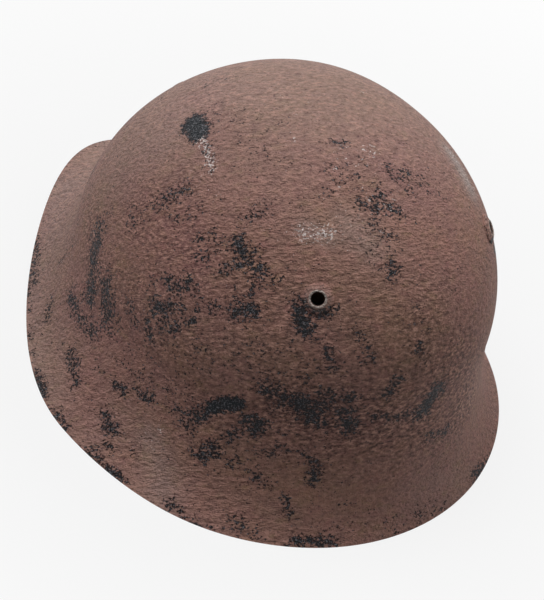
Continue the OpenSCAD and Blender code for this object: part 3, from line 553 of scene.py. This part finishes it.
# the vent rivets carry the same paint: their crest is rubbed to steel, and their bore is painted black as
# shade
rubbed_steel = add(tree, "ValToRGB", {0: grain["grit"]}, stops=[
    (0.3, hue("#6b605a")), (0.55, hue("#a3978f")), (0.7, hue("#cfc6bf"))])
colour = over(tree, colour, mark["crest"], rubbed_steel)
colour = over(tree, colour, mark["bore"], "#0b0908")
height = grain["ripple"]
for source, weight in ((grain["grit"], 0.6), (grain["lumps"], 1.0), (bare, -0.3)):
    height = calc(tree, "MULTIPLY_ADD", source, weight, height)
feed(tree, shader, {
    "Base Color": colour, "Roughness": span(tree, bare, start=0.62, end=0.52),
    "Specular IOR Level": 0.13,
    "Normal": add(tree, "Bump", {"Height": height, "Strength": 1.0, "Distance": 1.8 * MM})})
shell.data.materials.clear()
shell.data.materials.append(paint)
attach(shell, "helmet")
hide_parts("shell")


# Three turned steel rivets: a conical flange with a raised crest ring outside, a barrel through
# the shell, and an end that is clenched over a washer inside. The crest is rubbed bright.
RIVET = [(3.1, -7.55), (3.1, 1.0), (3.2, 1.4), (3.4, 1.7), (3.65, 1.87), (3.9, 1.9), (4.15, 1.82),
         (4.5, 1.64), (5.0, 1.4), (5.8, 1.0), (6.8, 0.5), (7.25, 0.25), (7.4, 0.0), (7.4, -0.55),
         (4.3, -0.55), (4.3, -6.83), (5.5, -6.86), (5.8, -7.1), (5.6, -7.5), (4.6, -7.65), (3.5, -7.6)]
# the crest ring's inner and outer radius, how high the ring and the flange lie, and how high the bore's
# painted black shade reaches
BORE_R, CREST_R, CREST_Z, FLANGE_Z, BORE_SHADE_Z = 3.2, 4.3, 1.6, 0.9, 1.1

for side, (place_mm, normal) in VENTS.items():
    bm = bmesh.new()
    ring = [bm.verts.new((r, 0, z)) for r, z in RIVET]
    edges = [bm.edges.new((a, b)) for a, b in zip(ring, ring[1:] + ring[:1])]
    bmesh.ops.spin(bm, geom=ring + edges, cent=(0, 0, 0), axis=(0, 0, 1), angle=2 * pi, steps=72,
                   use_merge=True)
    bmesh.ops.remove_doubles(bm, verts=bm.verts, dist=0.001)
    bmesh.ops.recalc_face_normals(bm, faces=bm.faces)
    marks, seat = [], upright(place_mm, normal)
    for vert in bm.verts:
        r, z = sqrt(vert.co.x ** 2 + vert.co.y ** 2), vert.co.z
        # the flange's lower half is speckled dark, partly wear and partly painted shade below the crest
        lower_half = (seat @ vert.co).z < place_mm.z - 1
        marks.append((0.95 if z > CREST_Z and BORE_R < r < CREST_R else 0.12 if z > FLANGE_Z else 0.0,
                      1.0 if r < BORE_R and z < BORE_SHADE_Z else 0.35 if r < BORE_R + 0.1 else 0.0,
                      0.9 if lower_half and r > CREST_R + 0.4 and z > -0.1 else 0.35))
    bmesh.ops.transform(bm, matrix=seat, verts=bm.verts)
    rivet = new_piece("hollow_rivet_" + side, bm, 40)
    for k, name in enumerate(("crest", "bore", "worn")):
        field = rivet.data.attributes.new(name, "FLOAT", "POINT")
        for i, mark in enumerate(marks):
            field.data[i].value = mark[k]
    rivet.data.materials.append(paint)
    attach(rivet, "helmet")
    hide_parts("vent_rivet_" + side)


# The spacer bushes, hanger strips, washers and the liner band are bent from zinc-dipped strip
# steel, riveted together. Years under sweat leave them grey with brown rust spots. A row gives the
# name, the clean, dull and rusty colour, how metallic and rough it is, where rust starts, the nodes.
STEELS = (
    ("zinc_dipped_strip_steel", "#8b8c88", "#6c6a64", "#6a4632", 0.62, 0.50, 0.60,
     ("liner_band", "band_joint_plate", "hanger_right", "hanger_left", "hanger_rear")),
    ("turned_bright_steel", "#a5a39c", "#7c7870", "#6b4a36", 0.75, 0.40, 0.64,
     ("spacer_bushes", "rivet_washers", "swivel_studs")),
    ("pressed_rivet_steel", "#99958c", "#6f6a62", "#5f4432", 0.7, 0.42, 0.62,
     ("hanger_rivets", "band_joint_rivets", "liner_rivets", "strap_rivets")),
    ("rolled_buckle_steel", "#8f8f8c", "#65635f", "#5d4535", 0.85, 0.36, 0.66,
     ("swivel_left", "swivel_right", "buckle_frame", "buckle_prong")))

for name, clean, dulled, rust, metal, rough, spots, nodes in STEELS:
    steel, tree, shader = new_material(name)
    place = add(tree, "TexCoord", out="Object")
    drawn = add(tree, "Mapping", {"Vector": place, "Scale": (1, 1, 9)})
    cloud, scratch = noise(tree, place, 0.09, 5, 0.6), noise(tree, drawn, 0.42, 3)
    pits = noise(tree, place, 0.33, 5, 0.7)
    dirt = calc(tree, "MULTIPLY", cloud, 0.4)
    dirt = calc(tree, "MULTIPLY_ADD", pits, 0.6, dirt)
    rusty = span(tree, dirt, spots - 0.08, spots)
    tone = hue(clean)
    for share, tint in ((span(tree, cloud, 0.35, 0.65), dulled),
                        (span(tree, scratch, 0.45, 0.7, end=0.25), clean),
                        (rusty, rust)):
        tone = over(tree, tone, share, tint)
    relief = calc(tree, "ADD", scratch, pits)
    feed(tree, shader, {
        "Base Color": tone, "Metallic": span(tree, rusty, start=metal, end=0.0),
        "Roughness": span(tree, rusty, start=rough, end=0.85),
        "Normal": add(tree, "Bump", {"Height": relief, "Strength": 0.25, "Distance": 0.2 * MM})})
    for node in nodes:
        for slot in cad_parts[node].material_slots:
            slot.material = steel


# Grey wool felt, 3 mm thick, between the steel band and the leather. It is cut from a sheet and
# bent round, so its edges are slightly rounded and hairy.
BAND_MID, FELT_FACE, FELT_T, FELT_H, FELT_STEPS = 75, 9.15, 3.0, 16.0, 260


def ring_frame(t):
    """Place on the bowl's ring at the band's middle, and the level direction out of it."""
    along = bowl_place(t + 0.004, BAND_MID)[0] - bowl_place(t - 0.004, BAND_MID)[0]
    return bowl_place(t, BAND_MID)[0], Vector((along.y, -along.x, 0)).normalized()


CORNER_STEPS = 3


def rounded(width, height, radius, flats):
    """Section of a bar with rounded corners, its two wide faces cut in equal steps."""
    flat, tall = width / 2 - radius, height / 2 - radius
    points = []
    for x, y, start in ((flat, tall, 0), (-flat, tall, 90), (-flat, -tall, 180), (flat, -tall, 270)):
        for i in range(CORNER_STEPS + 1):
            a = radians(start + 90 * i / CORNER_STEPS)
            points.append((x + radius * cos(a), y + radius * sin(a)))
    made = []
    for (ax, ay), (bx, by) in zip(points, points[1:] + points[:1]):
        steps = flats if abs(ax - bx) > flat else 1
        made += [(ax + (bx - ax) * i / steps, ay + (by - ay) * i / steps) for i in range(steps)]
    return made


def sweep(bm, places, section, loop=False):
    """Lays a sheet of quads round a section along places of (origin, across, out), and closes it."""
    nx, ny = len(section), len(places) - (0 if loop else 1)
    made = bmesh.ops.create_grid(bm, x_segments=nx, y_segments=ny, size=1)["verts"]
    for vert in made:
        i = round((vert.co.x + 1) / 2 * nx) % nx
        origin, across, out, *width = places[round((vert.co.y + 1) / 2 * ny) % len(places)]
        a, b = section[i]
        vert.co = origin + a * (width[0] if width else 1) * across + b * out
    bmesh.ops.remove_doubles(bm, verts=made, dist=0.002)
    if not loop:
        bmesh.ops.holes_fill(bm, edges=[e for e in bm.edges if e.is_boundary], sides=0)
    bmesh.ops.recalc_face_normals(bm, faces=bm.faces)


bm = bmesh.new()
places = []
for i in range(FELT_STEPS):
    spot, out = ring_frame(2 * pi * i / FELT_STEPS)
    middle = Vector((spot.x, spot.y, BAND_MID)) - (FELT_FACE + FELT_T / 2) * out
    places.append((middle, Vector((0, 0, 1)), out))
sweep(bm, places, rounded(FELT_H, FELT_T, 1.1, 5), True)
felt = new_piece("wool_felt_strip", bm, 0)

# fulled wool: matt with a slight sheen, and hairs under a millimetre apart
wool, tree, shader = new_material("grey_wool_felt")
place = add(tree, "TexCoord", out="Object")
hair, cloud = noise(tree, place, 1.6, 4, 0.7, 1.5), noise(tree, place, 0.08, 3)
tone = add(tree, "ValToRGB", {0: cloud}, stops=[(0.35, hue("#77756c")), (0.65, hue("#5f5c52"))])
share = span(tree, hair, 0.4, 0.7, end=0.6)
tone = over(tree, tone, share, "#8f8b7e")
feed(tree, shader, {
    "Base Color": tone, "Roughness": 0.95, "Sheen Weight": 0.3,
    "Normal": add(tree, "Bump", {"Height": hair, "Strength": 0.7, "Distance": 0.6 * MM})})
felt.data.materials.append(wool)
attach(felt, "helmet")
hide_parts("felt_strip")


# One piece of vegetable-tanned leather, drawn 1.9 mm thick for a sheet of 1.6 mm: a sweatband
# whose upper edge is cut in eight tongues that close over the head. Each has a punched lace hole.
HIDE_FACE, HIDE_T, HIDE_LOW, HIDE_BEND, CROWN_Z, CROWN_R = 12.3, 1.9, 65.0, 76.0, 140.0, 18.0
TONGUES, SLIT, SLIT_IN, HIDE_POWER = 8, 3.0, 6, 1.8
LACE_AT, LACE_HOLE_R = 27.0, 2.0
TONGUE_COLS, UPRIGHT_ROWS, TONGUE_ROWS, RING_STEPS = 18, 5, 39, 1440
spot, out = ring_frame(pi / 2)
HIDE_Y, HIDE_HALF = spot.y, spot.x - HIDE_FACE
# the ring seen from its middle: how far it is in each direction
ring = []
for i in range(RING_STEPS):
    spot, out = ring_frame(2 * pi * i / RING_STEPS)
    spot -= HIDE_FACE * out
    ring.append((atan2(spot.y - HIDE_Y, spot.x) % (2 * pi), sqrt(spot.x ** 2 + (spot.y - HIDE_Y) ** 2)))
ring.sort()


def ring_reach(angle):
    """How far the leather's outer face is from its middle in one direction."""
    angle %= 2 * pi
    low, high = 0, len(ring) - 1
    while high - low > 1:
        mid = (low + high) // 2
        low, high = (mid, high) if ring[mid][0] <= angle else (low, mid)
    (a0, r0), (a1, r1) = ring[low], ring[high]
    return r0 + (r1 - r0) * min(1, max(0, (angle - a0) / max(a1 - a0, 1e-9)))


def tongue_place(number, u, s):
    """u runs from -1 to 1 across a tongue, s from -1 at the lower edge over 0 at the bend to 1."""
    middle, half_tongue = number * 2 * pi / TONGUES, pi / TONGUES
    tip = CROWN_R * (1 + 0.30 * abs(u) ** 3.5) / HIDE_HALF
    inward = 1 if s <= 0 else tip + (1 - tip) * cos(s * pi / 2)
    # the slits start a little inside the bend, with a round end
    reach = ring_reach(middle + u * half_tongue) * inward
    room = max(0, HIDE_HALF - SLIT_IN - reach)
    half_slit = min(SLIT / 2, sqrt(room * SLIT / 2)) / max(reach, 1)
    angle = middle + u * (half_tongue - half_slit)
    reach = ring_reach(angle) * inward
    if s <= 0:
        z = HIDE_LOW + (s + 1) * (HIDE_BEND - HIDE_LOW)
    else:
        z = HIDE_BEND + (CROWN_Z - HIDE_BEND) * max(0, 1 - inward ** HIDE_POWER) ** (1 / HIDE_POWER)
    # each tongue hangs a little, more at its tip, and its edges curl
    droop = (1.2 + 0.9 * sin(2.3 * number + 0.7)) * max(0, s) ** 2
    curl = 0.8 * abs(u) ** 4 * max(0, s) * (1 + 0.6 * sin(1.7 * number))
    wave = 0.35 * sin(9 * s + 2.1 * number) * max(0, s)
    return Vector((reach * cos(angle), HIDE_Y + reach * sin(angle), z - droop - curl + wave))


bm = bmesh.new()
rows = UPRIGHT_ROWS + TONGUE_ROWS
for number in range(TONGUES):
    for vert in bmesh.ops.create_grid(bm, x_segments=TONGUE_COLS, y_segments=rows, size=1)["verts"]:
        row = round((vert.co.y + 1) / 2 * rows) - UPRIGHT_ROWS
        s = row / UPRIGHT_ROWS if row <= 0 else (row / TONGUE_ROWS) ** 0.9
        vert.co = tongue_place(number, vert.co.x, s)
bmesh.ops.remove_doubles(bm, verts=bm.verts, dist=0.02)
bmesh.ops.recalc_face_normals(bm, faces=bm.faces)
bm.faces.ensure_lookup_table()
if bm.faces[0].normal.dot(bm.faces[0].calc_center_median() - Vector((0, HIDE_Y, HIDE_LOW))) < 0:
    bmesh.ops.reverse_faces(bm, faces=bm.faces)
hide = new_piece("leather_sweatband", bm, 0)
wall = hide.modifiers.new("thickness", "SOLIDIFY")
wall.thickness, wall.offset, wall.use_even_offset = HIDE_T * MM, -1, True
bm = bmesh.new()
for number in range(TONGUES):
    a = number * 2 * pi / TONGUES
    where = Matrix.Translation((LACE_AT * cos(a), HIDE_Y + LACE_AT * sin(a), CROWN_Z - 10))
    bmesh.ops.create_cone(bm, segments=24, radius1=LACE_HOLE_R, radius2=LACE_HOLE_R, depth=60,
                          cap_ends=True, matrix=where)
cut_away(hide, bm)
soft = hide.modifiers.new("cut_edges", "BEVEL")
soft.width, soft.segments, soft.limit_method, soft.angle_limit = 0.35 * MM, 2, "ANGLE", radians(50)
hide.data.shade_smooth()

# tanned cowhide, half matt: pores about a millimetre apart, fine creases and broad stains
tan, tree, shader = new_material("vegetable_tanned_leather")
place = add(tree, "TexCoord", out="Object")
pore = add(tree, "TexVoronoi", {"Vector": place, "Scale": 1.1 / MM}, feature="SMOOTH_F1")
crease, stain = noise(tree, place, 0.24, 5, 0.65, 1.2), noise(tree, place, 0.034, 4, 0.6, 0.5)
# sweat has darkened it below this height, unevenly
SWEAT_Z = 91
height = add(tree, "SeparateXYZ", {0: place}, out="Z")
level = calc(tree, "MULTIPLY_ADD", stain, 0.9, -18 * SWEAT_Z * MM)
level = calc(tree, "MULTIPLY_ADD", height, 18, level)
sweat = span(tree, level, 0.0, 0.45, 0.85, 0.0)
dents = span(tree, crease, 0.3, 0.48, 0.5, 0.0)
tone = add(tree, "ValToRGB", {0: stain}, stops=[
    (0.3, hue("#5c3c23")), (0.5, hue("#7d5533")), (0.7, hue("#956b43"))])
for share, tint in ((sweat, "#3f2817"), (dents, "#4a2f1b")):
    tone = over(tree, tone, share, tint)
relief = calc(tree, "MULTIPLY_ADD", pore, 0.35, crease)
feed(tree, shader, {
    "Base Color": tone,
    "Roughness": span(tree, crease, 0.3, 0.7, 0.72, 0.48),
    "Normal": add(tree, "Bump", {"Height": relief, "Strength": 0.55, "Distance": 0.5 * MM})})
hide.data.materials.append(tan)
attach(hide, "helmet")
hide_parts("leather_liner")


def stitch_row(bm, points, length, thick):
    """Lays one thread stitch along each pair of (place, outward) points."""
    for (a, na), (b, nb) in points:
        along, out = (b - a).normalized(), (na + nb).normalized()
        across = along.cross(out).normalized()
        turn = Matrix((along, across, out)).transposed().to_4x4()
        scale = Matrix.Diagonal((length / 2, thick, thick * 0.8, 1))
        bmesh.ops.create_uvsphere(bm, u_segments=8, v_segments=5, radius=1,
                                  matrix=Matrix.Translation((a + b) / 2) @ turn @ scale)


# waxed flax yarn, a little glossy, with a fine twist
linen, tree, shader = new_material("waxed_linen_thread")
place = add(tree, "TexCoord", out="Object")
twist = noise(tree, place, 2.6, 3)
tone = add(tree, "ValToRGB", {0: twist}, stops=[(0.35, hue("#8c7a58")), (0.65, hue("#b9a67f"))])
feed(tree, shader, {
    "Base Color": tone, "Roughness": 0.7,
    "Normal": add(tree, "Bump", {"Height": twist, "Strength": 0.6, "Distance": 0.3 * MM})})

# a machine-sewn row along the sweatband's lower edge, on the side that meets the head; each stitch
# takes about three quarters of its pitch
STITCHES, SEAM_Z = 172, HIDE_LOW + 1.6
bm = bmesh.new()
row = []
for i in range(STITCHES):
    pair = []
    for k in (i, i + 0.74):
        spot, out = ring_frame(2 * pi * k / STITCHES)
        flat = spot - (HIDE_FACE + HIDE_T + 0.02) * out
        pair.append((Vector((flat.x, flat.y, SEAM_Z)), -out))
    row.append(pair)
stitch_row(bm, row, 2.3, 0.32)
thread = new_piece("sweatband_stitching", bm, 0)
thread.data.materials.append(linen)
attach(thread, "helmet")
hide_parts("leather_liner")


# Two straps of 1.8 mm saddle leather, 16 mm wide. Each is turned round a swivel's bar and riveted
# to itself; the left one is also turned round the buckle's bar, the right one ends in a tail.
STRAP_W, STRAP_T = 16.0, 1.8
# half of how far the middles of two plies that lie together are apart
PLY = 0.945
BAR_X, BAR_Z, SWING_Y, BUCKLE_X, BUCKLE_Z = 87.0508, 46.0, -13.3662, 18.0, 6.2
MAIN_X, LEFT_Z, RIGHT_Z, TOP_Z = BAR_X + PLY, BUCKLE_Z - PLY, 3.95, 10.55
BEND_R, TAIL_X, POINT_L = 26.0, 50.0, 11.0
# how the leather goes round the bars, where its plies part and where its turned ends stop
EYE_R, EYE_UP, BUCKLE_R, PARTED, LAP, BUCKLE_LAP = 1.85, 1.4, 2.35, 9, 14, 16


def arc(x, z, r, a0, a1, steps=12):
    """Points along an arc from one angle to the other, in degrees."""
    turns = [radians(a0 + (a1 - a0) * i / steps) for i in range(steps + 1)]
    return [(x + r * cos(a), z + r * sin(a)) for a in turns]


def even(path, step):
    """Rounds a path's corners and sets its points at even steps."""
    for _ in range(2):
        cut = [path[0]]
        for (x0, z0), (x1, z1) in zip(path, path[1:]):
            cut += [(x0 * a + x1 * (1 - a), z0 * a + z1 * (1 - a)) for a in (0.75, 0.25)]
        path = cut + [path[-1]]
    made, left = [path[0]], step
    for (x0, z0), (x1, z1) in zip(path, path[1:]):
        size = sqrt((x1 - x0) ** 2 + (z1 - z0) ** 2)
        along = 0
        while size - along >= left:
            along += left
            made.append((x0 + (x1 - x0) * along / size, z0 + (z1 - z0) * along / size))
            left = step
        left -= size - along
    return made + [path[-1]]


def hanging(low_z):
    """A strap from its turned end, round the swivel's bar and down, to where it has become level."""
    eye = [(BAR_X - PLY, BAR_Z - LAP), (BAR_X - PLY, BAR_Z - PARTED)]
    eye += arc(BAR_X, BAR_Z + EYE_UP, EYE_R, 195, -15) + [(MAIN_X, BAR_Z - PARTED)]
    return eye + arc(MAIN_X - BEND_R, low_z + BEND_R, BEND_R, 0, -90, 16)


left_path = hanging(LEFT_Z) + [(BUCKLE_X + PARTED, LEFT_Z)]
left_path += arc(BUCKLE_X, BUCKLE_Z, BUCKLE_R, -80, -280, 16)
left_path += [(BUCKLE_X + PARTED, BUCKLE_Z + PLY), (BUCKLE_X + BUCKLE_LAP, BUCKLE_Z + PLY)]
right_path = [(-x, z) for x, z in hanging(RIGHT_Z)]
# between the buckle's bars it climbs from under the far one to over the near one
CLIMB_X, CLIMB_W = 2.5, 13
for share in [i / 10 for i in range(11)]:
    eased = share ** 2 * (3 - 2 * share)
    right_path.append((CLIMB_X + CLIMB_W * share, RIGHT_Z + (TOP_Z - RIGHT_Z) * eased))
right_path.append((TAIL_X, TOP_Z))


def strap(name, path, tail=False):
    """A leather strap swept along its path, its edges rounded; a tail ends in a point."""
    path = even(path, 1.2)
    places = []
    for i, (x, z) in enumerate(path):
        (x0, z0), (x1, z1) = path[max(i - 1, 0)], path[min(i + 1, len(path) - 1)]
        along = Vector((x1 - x0, 0, z1 - z0)).normalized()
        taper, past = 1, (x - TAIL_X + POINT_L) / (POINT_L + 0.01)
        if tail and past > 0 and z > TOP_Z - 0.5:
            taper = sqrt(max(0.02, 1 - past ** 2.2))
        places.append((Vector((x, SWING_Y, z)), Vector((0, 1, 0)), Vector((-along.z, 0, along.x)), taper))
    bm = bmesh.new()
    sweep(bm, places, rounded(STRAP_W, STRAP_T, 0.55, 10))
    return new_piece(name, bm, 40)


def drill(bm, x, z, size):
    """Adds a punched hole through a level strap to the cutter."""
    bmesh.ops.create_cone(bm, segments=32, radius1=size / 2, radius2=size / 2, depth=8, cap_ends=True,
                          matrix=Matrix.Translation((x, SWING_Y, z)))


def brick(bm, x0, x1, half, z0, z1):
    """Adds a slot for the prong to the cutter."""
    middle = Matrix.Translation(((x0 + x1) / 2, SWING_Y, (z0 + z1) / 2))
    bmesh.ops.create_cube(bm, size=1, matrix=middle @ Matrix.Diagonal((x1 - x0, 2 * half, z1 - z0, 1)))


left = strap("strap_buckle_half", left_path)
bm = bmesh.new()
brick(bm, BUCKLE_X - 4.5, BUCKLE_X + 3.3, 1.9, 2, 11)
cut_away(left, bm)
right = strap("strap_hole_half", right_path, True)
bm = bmesh.new()
brick(bm, BUCKLE_X - 12, BUCKLE_X - 3.2, 1.7, 0.5, 14)
HOLE_D, HOLE_X, HOLE_PITCH = 3.2, -3, 12
for i in range(4):
    drill(bm, HOLE_X - HOLE_PITCH * i, RIGHT_Z, HOLE_D)
drill(bm, BUCKLE_X + HOLE_PITCH, TOP_Z, HOLE_D)
cut_away(right, bm)

# waxed cowhide, smoother than the liner, with pores and fine creases
saddle, tree, shader = new_material("dark_saddle_leather")
place = add(tree, "TexCoord", out="Object")
pore = add(tree, "TexVoronoi", {"Vector": place, "Scale": 1.5 / MM}, feature="SMOOTH_F1")
crease, cloud = noise(tree, place, 0.3, 5, 0.65, 0.8), noise(tree, place, 0.055, 3)
# creased line 1.6 mm inside each edge, and edges rubbed darker; aside says how many centimetres off
# the strap's middle a place lies
aside = add(tree, "SeparateXYZ", {0: place}, out="Y")
aside = calc(tree, "ADD", aside, -SWING_Y * MM)
aside = calc(tree, "ABSOLUTE", aside)
aside = calc(tree, "MULTIPLY", aside, 100)
line = add(tree, "ValToRGB", {0: aside}, stops=[(0.60, 0.0), (0.635, 1.0), (0.67, 0.0)])
rubbed = span(tree, aside, 0.66, 0.79, end=0.8)
dents = span(tree, crease, 0.3, 0.46, 0.5, 0.0)
tone = add(tree, "ValToRGB", {0: cloud}, stops=[
    (0.3, hue("#3f2616")), (0.5, hue("#583720")), (0.7, hue("#6b472b"))])
for share, tint in ((line, "#2a190f"), (rubbed, "#2a190f"), (dents, "#2e1c11")):
    tone = over(tree, tone, share, tint)
relief = calc(tree, "MULTIPLY_ADD", pore, 0.4, crease)
relief = calc(tree, "MULTIPLY_ADD", line, -1.0, relief)
feed(tree, shader, {
    "Base Color": tone,
    "Roughness": span(tree, crease, 0.3, 0.7, 0.65, 0.4),
    "Normal": add(tree, "Bump", {"Height": relief, "Strength": 0.5, "Distance": 0.4 * MM})})

for piece, node in ((left, "strap_left"), (right, "strap_right")):
    piece.data.materials.clear()
    piece.data.materials.append(saddle)
    piece.data.shade_smooth()
    piece.data.set_sharp_from_angle(angle=radians(40))
    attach(piece, "chinstrap")
    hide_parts(node)

# sewn rows beside the turned ends, on both faces of the two plies
STITCH_L, STITCH_PITCH, ROW_Y, PLIES_FACE = 1.8, 2.4, 6.4, PLY + STRAP_T / 2 + 0.015


def sewn(bm, x, z, along, out):
    """One stitch in each of the two rows, from a place along the strap."""
    for y in (SWING_Y - ROW_Y, SWING_Y + ROW_Y):
        start = Vector((x, y, z))
        stitch_row(bm, [((start, out), (start + along, out))], STITCH_L, 0.3)


bm = bmesh.new()
for face in (1, -1):
    for k in range(5):
        for side in (1, -1):
            sewn(bm, side * BAR_X + face * PLIES_FACE, BAR_Z - LAP + 0.8 + k * STITCH_PITCH,
                 Vector((0, 0, 1.7)), Vector((face, 0, 0)))
    for k in range(3):
        sewn(bm, BUCKLE_X + PARTED + 0.2 + k * STITCH_PITCH, BUCKLE_Z + face * PLIES_FACE,
             Vector((STITCH_L, 0, 0)), Vector((0, 0, face)))
thread = new_piece("strap_stitching", bm, 0)
thread.data.materials.append(linen)
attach(thread, "chinstrap")
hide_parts("strap_left", "strap_right")


# A 6 mm wide loop of the same leather, closed on itself, which slides along both straps and holds
# the tail down.
KEEP_X, KEEP_W, KEEP_T, KEEP_R, KEEP_GAP = 38.5, 6.0, 1.5, 1.6, 0.3
half = STRAP_W / 2 + KEEP_GAP + KEEP_T / 2
beyond = STRAP_T / 2 + KEEP_GAP + KEEP_T / 2
low, high = LEFT_Z - beyond, TOP_Z + beyond
path = arc(half - KEEP_R, high - KEEP_R, KEEP_R, 0, 90, 6)
path += [(-y, z) for y, z in reversed(path)]
path += [(y, low + high - z) for y, z in reversed(path)]
places = []
for i, (y, z) in enumerate(path):
    (y0, z0), (y1, z1) = path[i - 1], path[(i + 1) % len(path)]
    out = Vector((0, z1 - z0, y0 - y1)).normalized()
    places.append((Vector((KEEP_X + KEEP_W / 2, SWING_Y + y, z)), Vector((1, 0, 0)), out))
bm = bmesh.new()
sweep(bm, places, rounded(KEEP_W, KEEP_T, 0.45, 3), True)
keeper = new_piece("keeper_loop", bm, 40)
keeper.data.materials.append(saddle)
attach(keeper, "keeper")
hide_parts("strap_keeper")


# Pale floor that reads white to the camera, keeps the shadow near the helmet and fades to the white
# of the world, and large soft lamps.
bm = bmesh.new()
bmesh.ops.create_grid(bm, x_segments=1, y_segments=1, size=4)
floor = new_piece("floor", bm, 0, 1.0)
backdrop, tree, shader = new_material("matt_white_paper")
feed(tree, shader, {"Base Color": hue("#9a9a9a"), "Roughness": 1.0})
rays = add(tree, "LightPath").node.outputs
away = add(tree, "VectorMath", {0: add(tree, "TexCoord", out="Object")}, out="Value", operation="LENGTH")
whiter = span(tree, away, 0.14, 0.45, 0.86, 1.0)
unlit = calc(tree, "MULTIPLY", rays["Is Camera Ray"], whiter)
for kind in ("Is Glossy Ray", "Is Transmission Ray"):
    unlit = calc(tree, "MAXIMUM", unlit, rays[kind])
white = add(tree, "Emission", {"Color": (1, 1, 1, 1), "Strength": 1.0})
seen = add(tree, "MixShader", {0: unlit, 1: shader.outputs[0], 2: white})
tree.links.new(seen, tree.nodes["Material Output"].inputs["Surface"])
floor.data.materials.append(backdrop)

world = bpy.data.worlds.new("studio")
bpy.context.scene.world = world
world.use_nodes = True
tree = world.node_tree
ambient = tree.nodes["Background"]
feed(tree, ambient, {"Color": (1, 1, 1, 1), "Strength": 0.08})
rays = add(tree, "LightPath").node.outputs
unlit = rays["Is Camera Ray"]
for kind in ("Is Glossy Ray", "Is Transmission Ray"):
    unlit = calc(tree, "MAXIMUM", unlit, rays[kind])
white = add(tree, "Background", {"Color": (1, 1, 1, 1), "Strength": 1.0})
seen = add(tree, "MixShader", {0: unlit, 1: ambient.outputs[0], 2: white})
tree.links.new(seen, tree.nodes["World Output"].inputs["Surface"])

for name, place, size, power in (("overhead", (-0.48, 0.67, 2.12), 1.1, 50.5),
                                 ("right_side", (1.35, 0.15, 1.60), 1.2, 15.5),
                                 ("low_rear", (1.26, 1.74, 0.55), 0.8, 9),
                                 ("low_front", (1.20, -1.70, 0.65), 0.8, 7.5)):
    lamp = bpy.data.objects.new(name, bpy.data.lights.new(name, "AREA"))
    lamp.data.size, lamp.data.energy = size, power
    bpy.context.scene.collection.objects.link(lamp)
    lamp.location = place
    lamp.rotation_euler = (Vector((0, 0, 0.08)) - Vector(place)).to_track_quat("-Z", "Y").to_euler()

bpy.context.scene.view_settings.view_transform = "Standard"
